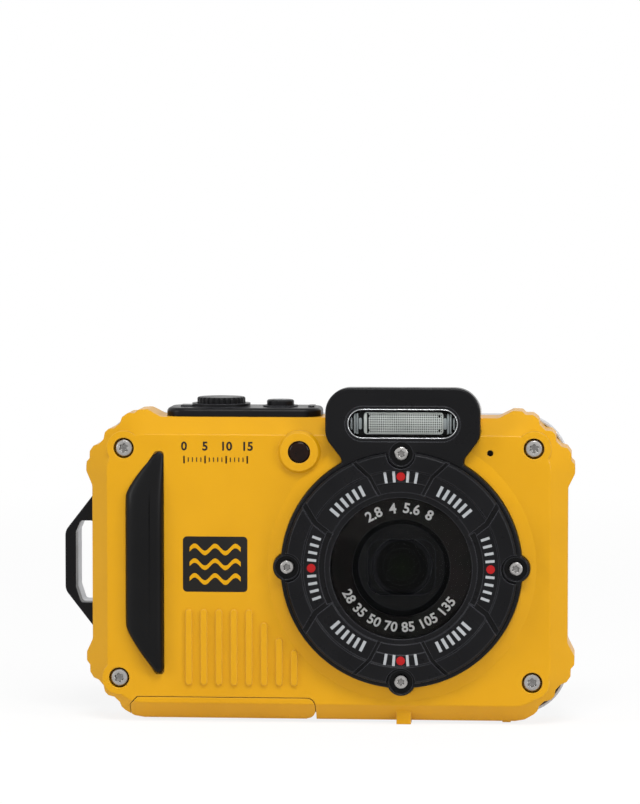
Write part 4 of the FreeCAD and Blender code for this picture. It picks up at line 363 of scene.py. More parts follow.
def settle(tree, name, **sizes):
    """Grows a tree with these sizes and keeps the result as a plain mesh."""
    piece = bpy.data.objects.new(name, bpy.data.meshes.new(name))
    bpy.context.collection.objects.link(piece)
    grown = piece.modifiers.new("grown", "NODES")
    grown.node_group = tree
    for socket in tree.interface.items_tree:
        if socket.in_out == "INPUT":
            grown[socket.identifier] = sizes[socket.name.replace(" ", "_")]
    made = piece.evaluated_get(bpy.context.evaluated_depsgraph_get())
    shape = bpy.data.meshes.new_from_object(made)
    piece.modifiers.remove(grown)
    piece.data = shape
    return piece


def small_block(name, width, depth, height, edge):
    """Template bar with softened edges, its middle at the origin."""
    shape = bmesh.new()
    bmesh.ops.create_cube(shape, size=1)
    bmesh.ops.scale(shape, vec=(width, depth, height), verts=shape.verts)
    bmesh.ops.bevel(shape, geom=shape.edges[:], offset=edge, segments=2, affect="EDGES")
    mesh = bpy.data.meshes.new(name)
    shape.to_mesh(mesh)
    return bpy.data.objects.new(name, mesh)


def stack(name, loops, ring=False):
    """Closed body through loops of as many points each, capped at its ends or closed to a ring."""
    loops = loops + loops[:1] if ring else loops
    count = len(loops[0])
    faces = [(low + i, low + (i + 1) % count, low + count + (i + 1) % count, low + count + i)
             for low in range(0, count * (len(loops) - 1), count) for i in range(count)]
    last = count * (len(loops) - 1)
    if not ring:
        faces += [tuple(range(count)), tuple(range(last, last + count))]
    mesh = bpy.data.meshes.new(name)
    mesh.from_pydata([point for loop in loops for point in loop], [], faces)
    shape = bmesh.new()
    shape.from_mesh(mesh)
    bmesh.ops.remove_doubles(shape, verts=shape.verts, dist=1e-8)
    bmesh.ops.recalc_face_normals(shape, faces=shape.faces)
    shape.to_mesh(mesh)
    mesh.shade_smooth()
    mesh.set_sharp_from_angle(angle=math.radians(35))
    return bpy.data.objects.new(name, mesh)


def round_loop(radius, y, lobes=0, swell=0.0, steps=48):
    """Circle facing the front; lobes swell its radius by a share of it."""
    turns = [math.tau * i / steps for i in range(steps)]
    reach = [radius * (1 + swell * math.cos(lobes * turn)) for turn in turns]
    return [(r * math.sin(turn), y, r * math.cos(turn)) for r, turn in zip(reach, turns)]


def merge(name, pieces, finish):
    """Joins finished meshes into one piece of one finish."""
    whole = bmesh.new()
    for piece in pieces:
        whole.from_mesh(piece.data)
        bpy.data.objects.remove(piece)
    mesh = bpy.data.meshes.new(name)
    whole.to_mesh(mesh)
    mesh.materials.clear()
    mesh.materials.append(finish)
    joined = bpy.data.objects.new(name, mesh)
    bpy.context.collection.objects.link(joined)
    return joined


round_row, given = open_tree("round_row", Piece="Object", Count="Int", Pitch="Float", Middle="Float",
                             Radius="Float", Centre="Vector", Finish="Material")
index = add_node(round_row, "GeometryNodeInputIndex")
half_row = calc(round_row, "MULTIPLY", calc(round_row, "SUBTRACT", given["Count"], 1.0), 0.5)
step = calc(round_row, "SUBTRACT", index, half_row)
turn = calc(round_row, "ADD", given["Middle"], calc(round_row, "MULTIPLY", step, given["Pitch"]))
spot = add_node(round_row, "ShaderNodeCombineXYZ",
                X=calc(round_row, "MULTIPLY", given["Radius"], calc(round_row, "SINE", turn)),
                Z=calc(round_row, "MULTIPLY", given["Radius"], calc(round_row, "COSINE", turn)))
spot = add_node(round_row, "ShaderNodeVectorMath", {"operation": "ADD"}, _0=spot, _1=given["Centre"])
spots = add_node(round_row, "GeometryNodePoints", Count=given["Count"], Position=spot)
facing = add_node(round_row, "FunctionNodeEulerToRotation",
                  Euler=add_node(round_row, "ShaderNodeCombineXYZ", Y=turn))
source = round_row.nodes.new("GeometryNodeObjectInfo")
round_row.links.new(given["Piece"], source.inputs["Object"])
close_tree(round_row, add_node(round_row, "GeometryNodeInstanceOnPoints", Points=spots,
                               Instance=source.outputs["Geometry"], Rotation=facing), given["Finish"])

pale_ink = moulded("pale_ink", (0.32, 0.335, 0.35), (0.39, 0.405, 0.42), (0.45, 0.55),
                   grain=8e-5, depth=2e-6)
red_ink = moulded("red_ink", (0.31, 0.008, 0.009), (0.37, 0.011, 0.012), (0.4, 0.5),
                  grain=8e-5, depth=2e-6)
tick_rows = [    # width, length, radius, count, pitch, middles from the top
    (0.70, 2.5, 19.15, 6, 4.6, (38.2, 142.5, -38.2, -142.5)),
    (0.59, 2.0, 19.75, 4, 4.87, (77.6, 102.4, -77.6, -102.4)),
    (0.61, 2.5, 20.40, 2, 5.25, (-6.9, 6.9, 173.1, 186.9)),
]
rows = []
for width, length, radius, count, pitch, middles in tick_rows:
    bar = small_block("bar", width * MM, INK, length * MM, INK / 3)
    for middle in middles:
        rows.append(settle(round_row, "row", Piece=bar, Count=count, Pitch=math.radians(pitch),
                           Middle=math.radians(middle), Radius=radius * MM,
                           Centre=LENS_AXIS + Vector((0, TICK_FACE - INK / 2, 0)), Finish=pale_ink))
    bpy.data.objects.remove(bar)
ring_ticks = merge("ring_ticks", rows, pale_ink)
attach(ring_ticks, "root")

dot_rings = [(0.95, 0), (0.95, -0.04), (0.6, -0.08), (0.1, -0.1)]    # radius, depth
dot = stack("dot", [round_loop(radius * MM, y * MM) for radius, y in dot_rings])
dots = [settle(round_row, "pair", Piece=dot, Count=2, Pitch=math.pi, Middle=middle, Radius=radius * MM,
               Centre=LENS_AXIS + Vector((0, TICK_FACE, 0)), Finish=red_ink)
        for middle, radius in ((0, 19.8), (math.pi / 2, 20.4))]
bpy.data.objects.remove(dot)
ring_dots = merge("ring_dots", dots, red_ink)
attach(ring_dots, "root")

# Lens window: a flat pane of hardened glass with a thin coating. It lets the
# light through unbent and mirrors a little of the room.
window_glass, tree, shader = start_finish("window_glass", (0.01, 0.01, 0.012), 0.03)
clear = tree.nodes.new("ShaderNodeBsdfTransparent")
clear.inputs["Color"].default_value = (0.96, 0.965, 0.96, 1)
edge_on = tree.nodes.new("ShaderNodeFresnel")
edge_on.inputs["IOR"].default_value = 1.28
blend = tree.nodes.new("ShaderNodeMixShader")
tree.links.new(edge_on.outputs["Fac"], blend.inputs["Fac"])
tree.links.new(clear.outputs["BSDF"], blend.inputs[1])
tree.links.new(shader.outputs["BSDF"], blend.inputs[2])
tree.links.new(blend.outputs["Shader"], tree.nodes["Material Output"].inputs["Surface"])
emboss(tree, shader, add_noise(tree, 0.01, 1.0), depth=2e-7)
dress(window_glass, "lens_window")

# Mask behind the window: black film round the opening of the optics, with a
# plain scale of white numbers printed along its upper and lower edges.
mask_black = moulded("mask_black", (0.0060, 0.0072, 0.0056), (0.0150, 0.0100, 0.0105), (0.3, 0.4),
                     grain=3e-4, depth=3e-6, drift=0.009)
# Its edges are lightened with a painted highlight.
paint_edge_highlight(mask_black, 4.0e-4, (0.040, 0.040, 0.044), strength=0.8)
dress(mask_black, "lens_mask")
MASK_FACE = -11.75 * MM
NUMBER_RADIUS = 13.2 * MM
white_ink = moulded("white_ink", (0.86, 0.86, 0.86), (0.90, 0.90, 0.90), (0.5, 0.6),
                    grain=8e-5, depth=2e-6)


def print_words(words, size):
    """One printed word as a mesh lying in the front plane, its middle at the origin."""
    letters = bpy.data.curves.new("letters", "FONT")
    letters.body = words
    letters.size = size
    letters.extrude = INK / 2
    letters.offset = 0.026 * size    # bolder strokes
    letters.align_x = "CENTER"
    letters.align_y = "CENTER"
    letters.resolution_u = 3
    carrier = bpy.data.objects.new("letters", letters)
    bpy.context.collection.objects.link(carrier)
    made = carrier.evaluated_get(bpy.context.evaluated_depsgraph_get())
    mesh = bpy.data.meshes.new_from_object(made)
    bpy.data.objects.remove(carrier)
    mesh.transform(Matrix.Rotation(math.radians(90), 4, "X"))
    return bpy.data.objects.new("letters", mesh)


def on_circle(piece, angle, upright):
    """Puts a printed word on the mask's circle of numbers; angle runs from the top."""
    turn = math.radians(angle)
    tilt = turn if upright else turn + math.pi
    spot = Vector((NUMBER_RADIUS * math.sin(turn), MASK_FACE - INK / 2, NUMBER_RADIUS * math.cos(turn)))
    piece.data.transform(Matrix.Translation(LENS_AXIS + spot) @ Matrix.Rotation(tilt, 4, "Y"))
    return piece


upper_scale = [(-27, "2.8"), (-8, "4"), (10, "5.6"), (28, "8")]
lower_scale = [(241, "28"), (224, "35"), (207, "50"), (190, "70"), (173, "85"), (153, "105"), (130, "135")]
numbers = [on_circle(print_words(words, 3.1 * MM), angle, True) for angle, words in upper_scale]
numbers += [on_circle(print_words(words, 3.0 * MM), angle, False) for angle, words in lower_scale]
mask_numbers = merge("mask_numbers", numbers, white_ink)
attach(mask_numbers, "root")

# Flash trough and tube: a bright pressed sheet behind a frosted glass tube.
# Widths and heights of the flash are taken about FLASH_MIDDLE.
FLASH_MIDDLE = Vector((18.98 * MM, 0, 67.22 * MM))
trough, tree, shader = start_finish("trough", (0.70, 0.72, 0.72), 0.2, 0.9)
vary_colour(tree, shader, add_noise(tree, 0.003), (0.62, 0.65, 0.65), (0.78, 0.80, 0.80))
tree.links.new(spread(tree, add_noise(tree, 0.002), 0.16, 0.30), shader.inputs["Roughness"])
dress(trough, "flash_reflector")
tube_glass, tree, shader = start_finish("tube_glass", (0.62, 0.64, 0.64), 0.1)
shader.inputs["Coat Weight"].default_value = 0.6
vary_colour(tree, shader, add_noise(tree, 0.004), (0.55, 0.58, 0.58), (0.70, 0.72, 0.72))
dress(tube_glass, "flash_tube")

# Flash window and trim: a clear pane in a thin bright plated trim, pressed into
# a black surround that closes the hood's opening round it.
PANE = (23.8, 6.0)    # width, height
PANE_OPENING = (23.84, 6.04, 3.01)    # width, height, rounding, as the next two
RIM = (24.4, 6.6, 3.3)
SURROUND = (25.46, 7.81, 3.9)
FLASH_SEAT = -11.42
bright_trim = metal("bright_trim", (0.38, 0.39, 0.40), (0.50, 0.51, 0.52), (0.12, 0.20),
                    stretch=(4, 4, 4), depth=1e-6, edge=1.5e-4)


def box_loop(width, height, rounding, y):
    """Rounded rectangle facing the front."""
    points = []
    for corner, (side, rise) in enumerate(((1, 1), (1, -1), (-1, -1), (-1, 1))):
        for i in range(9):
            turn = math.radians(90 * corner + 90 * i / 8)
            points.append((side * (width / 2 - rounding) + rounding * math.sin(turn), y,
                           rise * (height / 2 - rounding) + rounding * math.cos(turn)))
    return points


def slab(name, size, rounding, front, back, middle, edge):
    """Rounded plate of size (width, height) in mm, its front edge softened."""
    loops = [box_loop(size[0] - 2 * cut, size[1] - 2 * cut, rounding - cut, y)
             for cut, y in ((edge, front), (0.3 * edge, front + 0.3 * edge), (0, front + edge), (0, back))]
    plate = stack(name, [[(x * MM, y * MM, z * MM) for x, y, z in loop] for loop in loops])
    plate.data.transform(Matrix.Translation(middle))
    return plate


def frame_ring(name, outer, inner, front, back, middle, edge):
    """Flat ring between two outlines (width, height, rounding) in mm, its front edges softened."""
    sizes = [(outer, 0, back), (outer, 0, front + edge), (outer, edge, front), (inner, -edge, front),
             (inner, 0, front + edge), (inner, 0, back)]
    loops = [box_loop((width - 2 * cut) * MM, (height - 2 * cut) * MM, (rounding - cut) * MM, y * MM)
             for (width, height, rounding), cut, y in sizes]
    piece = stack(name, loops, ring=True)
    piece.data.transform(Matrix.Translation(middle))
    return piece


pane = slab("pane", PANE, 2.99, front=-12.4, back=-11.95, middle=FLASH_MIDDLE, edge=0.1)
pane = merge("flash_pane", [pane], window_glass)
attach(pane, "root")
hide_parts("flash_window")

rim = frame_ring("rim", RIM, PANE_OPENING, front=-12.55, back=FLASH_SEAT, middle=FLASH_MIDDLE, edge=0.12)
rim = merge("flash_rim", [rim], bright_trim)
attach(rim, "root")
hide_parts("flash_trim")

surround = frame_ring("surround", SURROUND, RIM, front=-12.4, back=FLASH_SEAT, middle=FLASH_MIDDLE,
                      edge=0.02)
surround = merge("flash_surround", [surround], bezel_black)
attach(surround, "root")

# Flash diffuser: a clear moulded plate with a net of small cushions, a plain
# band at its left end and a raised edge, over a black bed in the hood.
tile_grid, given = open_tree("tile_grid", Piece="Object", Columns="Int", Rows="Int", Pitch="Vector",
                             Centre="Vector", Finish="Material")
index = add_node(tile_grid, "GeometryNodeInputIndex")
row = calc(tile_grid, "FLOOR", calc(tile_grid, "DIVIDE", index, given["Columns"]))
column = calc(tile_grid, "SUBTRACT", index, calc(tile_grid, "MULTIPLY", row, given["Columns"]))
half_columns = calc(tile_grid, "MULTIPLY", calc(tile_grid, "SUBTRACT", given["Columns"], 1.0), 0.5)
half_rows = calc(tile_grid, "MULTIPLY", calc(tile_grid, "SUBTRACT", given["Rows"], 1.0), 0.5)
across = calc(tile_grid, "SUBTRACT", column, half_columns)
upward = calc(tile_grid, "SUBTRACT", row, half_rows)
spot = add_node(tile_grid, "ShaderNodeVectorMath", {"operation": "MULTIPLY_ADD"},
                _0=add_node(tile_grid, "ShaderNodeCombineXYZ", X=across, Z=upward), _1=given["Pitch"],
                _2=given["Centre"])
spots = add_node(tile_grid, "GeometryNodePoints", Position=spot,
                 Count=calc(tile_grid, "MULTIPLY", given["Columns"], given["Rows"]))
source = tile_grid.nodes.new("GeometryNodeObjectInfo")
tile_grid.links.new(given["Piece"], source.inputs["Object"])
close_tree(tile_grid, add_node(tile_grid, "GeometryNodeInstanceOnPoints", Points=spots,
                               Instance=source.outputs["Geometry"]), given["Finish"])

diffuser_clear, tree, shader = start_finish("diffuser_clear", (0.80, 0.84, 0.82), 0.18)
shader.inputs["Coat Weight"].default_value = 0.8
shader.inputs["Coat Roughness"].default_value = 0.05
vary_colour(tree, shader, add_noise(tree, 0.004, 2.0), (0.78, 0.82, 0.80), (0.93, 0.96, 0.94))
emboss(tree, shader, add_noise(tree, 6e-4), depth=2e-5)
cushion = small_block("cushion", 0.44 * MM, 0.16 * MM, 0.48 * MM, 0.09 * MM)
cushions = settle(tile_grid, "cushions", Piece=cushion, Columns=34, Rows=9, Finish=diffuser_clear,
                  Pitch=Vector((0.475, 0, 0.52)) * MM,
                  Centre=FLASH_MIDDLE + Vector((0.55, -11.62, 0.1)) * MM)
bpy.data.objects.remove(cushion)
DIFFUSER = FLASH_MIDDLE + Vector((0.2, 0, 0.1)) * MM
BAND = DIFFUSER - Vector((8.35 * MM, 0, 0))
band = slab("band", (0.6, 4.6), 0.28, front=-11.84, back=-11.60, middle=BAND, edge=0.08)
edge = frame_ring("edge", (17.5, 4.85, 0.7), (17.0, 4.45, 0.5), front=-11.78, back=-11.5,
                  middle=DIFFUSER, edge=0.06)
diffuser = merge("flash_diffuser", [cushions, band, edge], diffuser_clear)
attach(diffuser, "root")

stud_black = moulded("stud_black", (0.006, 0.006, 0.006), (0.010, 0.010, 0.010), (0.5, 0.6),
                     grain=2e-4, depth=3e-6)
bed = slab("bed", (25.2, 7.4), 3.6, front=-11.52, back=FLASH_SEAT, middle=FLASH_MIDDLE, edge=0.02)
flash_bed = merge("flash_bed", [bed], stud_black)
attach(flash_bed, "root")

# Flash sleeves and studs: pale rubber sleeves hold the tube at both ends, each
# with ribs of its own size, and four black studs pin the diffuser down.
sleeve_rubber = moulded("sleeve_rubber", (0.42, 0.46, 0.48), (0.54, 0.58, 0.60), (0.3, 0.42),
                        grain=2e-4, depth=4e-6)
sleeve_ribs = [    # distance from the middle, width and height, rounding, front
    (9.35, (0.7, 2.5), 0.3, -11.75),
    (10.0, (0.42, 4.6), 0.2, -11.85),
    (10.55, (0.42, 4.4), 0.2, -11.85),
    (11.3, (0.42, 2.6), 0.2, -11.75),
]
sleeves = []
for side in (-1, 1):
    for reach, size, rounding, front in sleeve_ribs:
        spot = FLASH_MIDDLE + Vector((side * reach, 0, 0)) * MM
        sleeves.append(slab("sleeve", size, rounding, front, back=-11.5, middle=spot, edge=0.12))
flash_sleeves = merge("flash_sleeves", sleeves, sleeve_rubber)
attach(flash_sleeves, "root")

stud_rings = [(0.24, 0), (0.24, -0.12), (0.12, -0.15)]    # radius, depth
stud = stack("stud", [round_loop(radius * MM, y * MM) for radius, y in stud_rings])
studs = settle(tile_grid, "studs", Piece=stud, Columns=2, Rows=2, Pitch=Vector((15.6, 0, 3.2)) * MM,
               Centre=FLASH_MIDDLE + Vector((0.3, -11.72, 0.1)) * MM, Finish=stud_black)
bpy.data.objects.remove(stud)
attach(studs, "root")

# Focus lamp: a very dark red filter, pressed into its round boss on the front
# housing. Its front bulges to a low dome, and the lamp behind it is as dark.
lamp_filter, tree, shader = start_finish("lamp_filter", (0.006, 0.002, 0.002), 0.10)
shader.inputs["Specular IOR Level"].default_value = 0.12
vary_colour(tree, shader, add_noise(tree, 0.002), (0.0050, 0.0020, 0.0015), (0.0140, 0.0045, 0.0020))
dress(lamp_filter, "af_lamp_lens", "af_lamp_led")
low, high = (Vector(corner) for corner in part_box("af_lamp_lens"))
reach = (high.x - low.x) / 2 - 0.1 * MM
bulge = [    # share of the radius, depth in mm
    (1, 0.2), (1, 0), (0.95, -0.15), (0.85, -0.3), (0.65, -0.45), (0.4, -0.54), (0.02, -0.58),
]
dome = stack("dome", [round_loop(share * reach, y * MM) for share, y in bulge])
lamp_dome = merge("lamp_dome", [dome], lamp_filter)
lamp_dome.data.transform(Matrix.Translation(((low.x + high.x) / 2, low.y, (low.z + high.z) / 2)))
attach(lamp_dome, "root")

# Screws: stamped steel, domed, with a six-lobe recess whose colour is darkened
# with painted shade; four long ones in the corners join the housings and four
# short ones hold the bezel. Each has stopped at an angle of its own.
screw_steel = metal("screw_steel", (0.31, 0.30, 0.29), (0.42, 0.41, 0.40), (0.20, 0.30),
                    stretch=(3, 3, 3), depth=3e-6, edge=1e-4)
# Painted shade: an occlusion node darkens the steel's colour in its hollows, such as the recess.
tree = screw_steel.node_tree
recess_occlusion = tree.nodes.new("ShaderNodeAmbientOcclusion")
recess_occlusion.samples = 8
recess_occlusion.inputs["Distance"].default_value = 1.5 * MM
depth = tree.nodes.new("ShaderNodeMapRange")
depth.inputs["From Min"].default_value = 0.30
depth.inputs["From Max"].default_value = 0.75
depth.inputs["To Min"].default_value = 0.25
tree.links.new(recess_occlusion.outputs["AO"], depth.inputs["Value"])
recess_shade = tree.nodes.new("ShaderNodeVectorMath")
recess_shade.operation = "SCALE"
target = tree.nodes["Principled BSDF"].inputs["Base Color"]
tree.links.new(target.links[0].from_socket, recess_shade.inputs[0])
tree.links.new(depth.outputs["Result"], recess_shade.inputs["Scale"])
tree.links.new(recess_shade.outputs["Vector"], target)

scatter, given = open_tree("scatter", Piece="Object", Places="Object", Finish="Material")
spots = scatter.nodes.new("GeometryNodeObjectInfo")
scatter.links.new(given["Places"], spots.inputs["Object"])
source = scatter.nodes.new("GeometryNodeObjectInfo")
scatter.links.new(given["Piece"], source.inputs["Object"])
chance = scatter.nodes.new("FunctionNodeRandomValue")
chance.inputs[3].default_value = math.tau
chance.inputs["Seed"].default_value = 0
facing = add_node(scatter, "FunctionNodeEulerToRotation",
                  Euler=add_node(scatter, "ShaderNodeCombineXYZ", Y=chance.outputs[1]))
close_tree(scatter, add_node(scatter, "GeometryNodeInstanceOnPoints", Points=spots.outputs["Geometry"],
                             Instance=source.outputs["Geometry"], Rotation=facing), given["Finish"])


def screw_set(name, node, head, depth, shank, length, front, places):
    """Screws at places (x, z) in mm; they stand in for a node of the CAD part."""
    bore = 0.44 * head
    rings = [    # radius, distance behind the top of the dome, swell of the six lobes
        (shank, length, 0), (shank, depth, 0), (head, depth, 0), (head, 0.45 * depth, 0),
        (0.93 * head, 0.2 * depth, 0), (0.76 * head, 0.07 * depth, 0), (0.60 * head, 0.02 * depth, 0),
        (1.08 * bore, 0, 0.13), (bore, 0.05 * depth, 0.16), (0.94 * bore, 0.5 * depth, 0.16),
        (0.2 * bore, 0.68 * depth, 0),
    ]
    screw = stack("screw", [round_loop(radius * MM, y * MM, lobes=6, swell=swell, steps=72)
                            for radius, y, swell in rings])
    marks = bpy.data.meshes.new("marks")
    marks.from_pydata([(x * MM, front * MM, z * MM) for x, z in places], [], [])
    marks = bpy.data.objects.new("marks", marks)
    screws = settle(scatter, name, Piece=screw, Places=marks, Finish=screw_steel)
    bpy.data.objects.remove(screw)
    bpy.data.objects.remove(marks)
    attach(screws, "root")
    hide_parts(node)


# Where the screws sit: the four corners, and four ears about the lens.
CORNERS = [(-43.22, 61.37), (47.86, 61.67), (-44.39, 10.0), (47.61, 9.74)]
EAR_DISTANCE = 25.3
EARS = [(LENS_X + EAR_DISTANCE * x, LENS_Z + EAR_DISTANCE * z)
        for x, z in ((1, 0), (0, -1), (-1, 0), (0, 1))]
screw_set("corner_six_lobe", "corner_screws", head=2.05, depth=1.5, shank=1.0, length=17.6,
          front=-9.5, places=CORNERS)
screw_set("bezel_six_lobe", "bezel_screws", head=1.6, depth=1.1, shank=0.7, length=4.6,
          front=-12.0, places=EARS)

# Grip pad: soft black rubber, domed to a ridge near its straight side, with a
# very fine pebbled skin. It is pressed into its seat in the front housing.
grip_rubber = moulded("grip_rubber", (0.0024, 0.0024, 0.0027), (0.0040, 0.0040, 0.0044), (0.30, 0.40),
                      grain=3.0e-4, depth=1.6e-5)
GRIP_RIGHT = -34.35
GRIP_LEFT = -42.7
# The outline in (x, z) runs up the straight side, round the upper corner, down
# the left side with its two slants and round the lower corner.
grip_slant = [(GRIP_LEFT + 6.9 * (i / 12) ** 1.3, i / 12) for i in range(12)]
grip_edge = [(GRIP_RIGHT, 12.2 + 5.91 * i) for i in range(9)]
grip_edge += [(-34.65, 60.15), (-35.2, 60.55), (-35.8, 60.4)]
grip_edge += [(x, 50.9 + 9.74 * rise) for x, rise in reversed(grip_slant)]
grip_edge += [(GRIP_LEFT, 48.0 - 4.5 * i) for i in range(6)]
grip_edge += [(x, 21.7 - 10.7 * rise) for x, rise in grip_slant]
grip_edge += [(-35.8, 11.25), (-35.2, 11.1), (-34.65, 11.5)]
GRIP_SEAT = -9.4
RIDGE_X = -37.2
RIDGE_LOW = 16.0
RIDGE_HIGH = 52.0
FALL_FROM = 48.5
FALL_LENGTH = 12
grip_dome = [    # share of the outline that is left, height over the seat
    (1, 0), (1, 0.7), (0.97, 1.2), (0.90, 1.7), (0.75, 2.2), (0.5, 2.53), (0.25, 2.64), (0.03, 2.65),
]
grip_loops = []
for share, rise in grip_dome:
    loop = []
    for x, z in grip_edge:
        middle = min(max(z, RIDGE_LOW), RIDGE_HIGH)
        height = middle + (z - middle) * share
        fall = 0.75 * max(height - FALL_FROM, 0) / FALL_LENGTH    # the dome sinks to its upper end
        loop.append(((RIDGE_X + (x - RIDGE_X) * share) * MM,
                     (GRIP_SEAT - rise * (1 - fall)) * MM, height * MM))
    grip_loops.append(loop)
domed_grip = merge("domed_grip", [stack("grip", grip_loops)], grip_rubber)
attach(domed_grip, "root")
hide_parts("grip_pad")

# Prints on the front housing: a plain depth scale of numbers over a row of
# marks, and a black panel with three rows of yellow waves. Thick screen ink.
black_ink = moulded("black_ink", (0.010, 0.009, 0.008), (0.014, 0.013, 0.012), (0.40, 0.50),
                    grain=8e-5, depth=2e-6)
FACE = -9.75    # millimetres
SCALE_MIDDLE = Vector((-22.65 * MM, FACE * MM - INK / 2, 58.9 * MM))
SCALE_PITCH = 4.7 * MM
marks = []
for width, height, count in ((0.22, 1.0, 16), (0.34, 1.7, 4)):
    bar = small_block("bar", width * MM, INK, height * MM, INK / 4)
    marks.append(settle(tile_grid, "marks", Piece=bar, Columns=count, Rows=1, Finish=black_ink,
                        Pitch=Vector((SCALE_PITCH * 3 / (count - 1), 0, 0)), Centre=SCALE_MIDDLE))
    bpy.data.objects.remove(bar)
for i, words in enumerate(("0", "5", "10", "15")):
    number = print_words(words, 2.7 * MM)
    spot = SCALE_MIDDLE + Vector(((i - 1.5) * SCALE_PITCH, 0, 2.9 * MM))
    number.data.transform(Matrix.Translation(spot))
    marks.append(number)
depth_scale = merge("depth_scale", marks, black_ink)
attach(depth_scale, "root")

PANEL_MIDDLE = Vector((-22.8 * MM, 0, 35.6 * MM))
PANEL_FRONT = FACE - 0.05
panel = slab("panel", (14.4, 12.35), 0.9, PANEL_FRONT, back=FACE, middle=PANEL_MIDDLE, edge=0.02)
panel = merge("print_panel", [panel], black_ink)
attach(panel, "root")


def wave_loop(length, height, stroke, waves, y):
    """Outline of one wavy stroke, its upper edge first."""
    steps = 64
    line = [(length * (i / steps - 0.5), height * math.sin(math.tau * waves * i / steps))
            for i in range(steps + 1)]
    upper = [(x, y, z + stroke / 2) for x, z in line]
    return upper + [(x, y, z - stroke / 2) for x, z in reversed(line)]


yellow_ink = moulded("yellow_ink", lacquer_low, lacquer_high, (0.42, 0.52), grain=8e-5, depth=2e-6)
wave = stack("wave", [wave_loop(11.4 * MM, 0.8 * MM, stroke=1.0 * MM, waves=2.5, y=y * MM)
                      for y in (PANEL_FRONT - 0.02, PANEL_FRONT)])
waves = settle(tile_grid, "print_waves", Piece=wave, Columns=1, Rows=3, Pitch=Vector((0, 0, 3.3)) * MM,
               Centre=PANEL_MIDDLE, Finish=yellow_ink)
bpy.data.objects.remove(wave)
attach(waves, "root")

# Shutter and power buttons: satin black caps on stems through the control
# plate. The power button has a ring and a bar printed on its top.
button_black = moulded("button_black", (0.0060, 0.0060, 0.0068), (0.0095, 0.0095, 0.0105), (0.26, 0.38),
                       grain=1.5e-4, depth=4e-6, edge=2.5e-4)
dress(button_black, "shutter_button", "power_button")


def top_of(node):
    """Middle of the top of a node's box."""
    low, high = (Vector(corner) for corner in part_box(node))
    return Vector(((low.x + high.x) / 2, (low.y + high.y) / 2, high.z))


SIGN_INK = 0.04 * MM
power_rings = [(1.25, 0), (1.25, -SIGN_INK), (0.95, -SIGN_INK), (0.95, 0)]    # radius in mm, depth
power_ring = stack("ring", [round_loop(radius * MM, y) for radius, y in power_rings], ring=True)
power_bar = small_block("bar", 0.35 * MM, SIGN_INK, 1.1 * MM, SIGN_INK / 4)
power_bar.data.transform(Matrix.Translation((0, -SIGN_INK / 2, 1.1 * MM)))
power_sign = merge("power_sign", [power_ring, power_bar], pale_ink)
lay_down = Matrix.Rotation(math.radians(-90), 4, "X")
power_sign.data.transform(Matrix.Translation(top_of("power_button")) @ lay_down)
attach(power_sign, "power")

# Battery door and its latch: the door is moulded and lacquered like the front
# housing and swings on its pin. The latch is a black slide in its underside.
dress(yellow_lacquer, "battery_door")
dress(bezel_black, "door_latch")

# Display: a glossy window over the panel, with a matt black frame printed
# round the picture.
display_gloss, tree, shader = start_finish("display_gloss", (0.008, 0.009, 0.012), 0.06)
shader.inputs["Specular IOR Level"].default_value = 0.20
vary_colour(tree, shader, add_noise(tree, 0.02), (0.007, 0.008, 0.010), (0.010, 0.011, 0.015))
dress(display_gloss, "lcd_window", "lcd_panel")
BORDER_OUTLINE = (60.4, 45.4, 1.8)
PICTURE_OUTLINE = (57.2, 43.0, 0.8)
low, high = (Vector(corner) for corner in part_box("lcd_window"))
middle = Vector(((low.x + high.x) / 2, 0, (low.z + high.z) / 2))
glass_back = high.y / MM
border = frame_ring("border", BORDER_OUTLINE, PICTURE_OUTLINE, glass_back + 0.03, glass_back, middle, 0)
display_border = merge("display_border", [border], mask_black)
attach(display_border, "root")

# Rear keys: black moulded caps that stand through the rear wall, held from
# inside by their flanges. Plain printed signs move with them.
dress(button_black, *[name for name in nodes if name.endswith("_key")])


def polygon(sides, radius, turn=0.0, x=0.0):
    """Regular outline; turn is the direction of its first corner from the top, in degrees."""
    angles = [math.radians(turn) + math.tau * i / sides for i in range(sides)]
    return [(x + radius * math.sin(angle), radius * math.cos(angle)) for angle in angles]


def oblong(width, height, z=0.0):
    """Outline of a level bar."""
    corners = ((-1, -1), (1, -1), (1, 1), (-1, 1))
    return [(width / 2 * side, z + height / 2 * rise) for side, rise in corners]


signs = {
    "ok": [polygon(24, 0.7)],
    "up": [polygon(3, 0.9, 0)], "down": [polygon(3, 0.9, 180)],
    "left": [polygon(3, 0.9, 90)], "right": [polygon(3, 0.9, -90)],
    "menu": [oblong(2.2, 0.36, z=rise) for rise in (-0.8, 0, 0.8)],
    "delete": [oblong(1.5, 1.5, z=-0.25), oblong(2.1, 0.3, z=0.85), oblong(0.7, 0.25, z=1.2)],
    "movie": [polygon(24, 0.85)],
    "playback": [polygon(3, 1.1, -90)],
    "zoom_wide": [polygon(3, 0.75, x=shift) for shift in (-1.4, 0, 1.4)],
    "zoom_tele": [polygon(3, 1.3)],
}
for key, outlines in signs.items():
    low, high = (Vector(corner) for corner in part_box(key + "_key"))
    flats = []
    for outline in outlines:
        loops = [[(x * MM, y, z * MM) for x, z in outline] for y in (high.y, high.y + SIGN_INK)]
        flats.append(stack("flat", loops))
    sign = merge(key + "_sign", flats, red_ink if key == "movie" else pale_ink)
    sign.data.transform(Matrix.Translation(((low.x + high.x) / 2, 0, (low.z + high.z) / 2)))
    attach(sign, key)

# Floor, room, lamps and camera: white paper in a white room, a big soft lamp
# above, one from the right and a weaker one from the left, and a long lens from
# a little above and to the right.
FLOOR_REACH = 4
floor_mesh = bpy.data.meshes.new("floor")
floor_corners = [(FLOOR_REACH * x, FLOOR_REACH * y, 0) for x, y in ((-1, -1), (1, -1), (1, 1), (-1, 1))]
floor_mesh.from_pydata(floor_corners, [], [(0, 1, 2, 3)])
floor = bpy.data.objects.new("floor", floor_mesh)
bpy.context.collection.objects.link(floor)


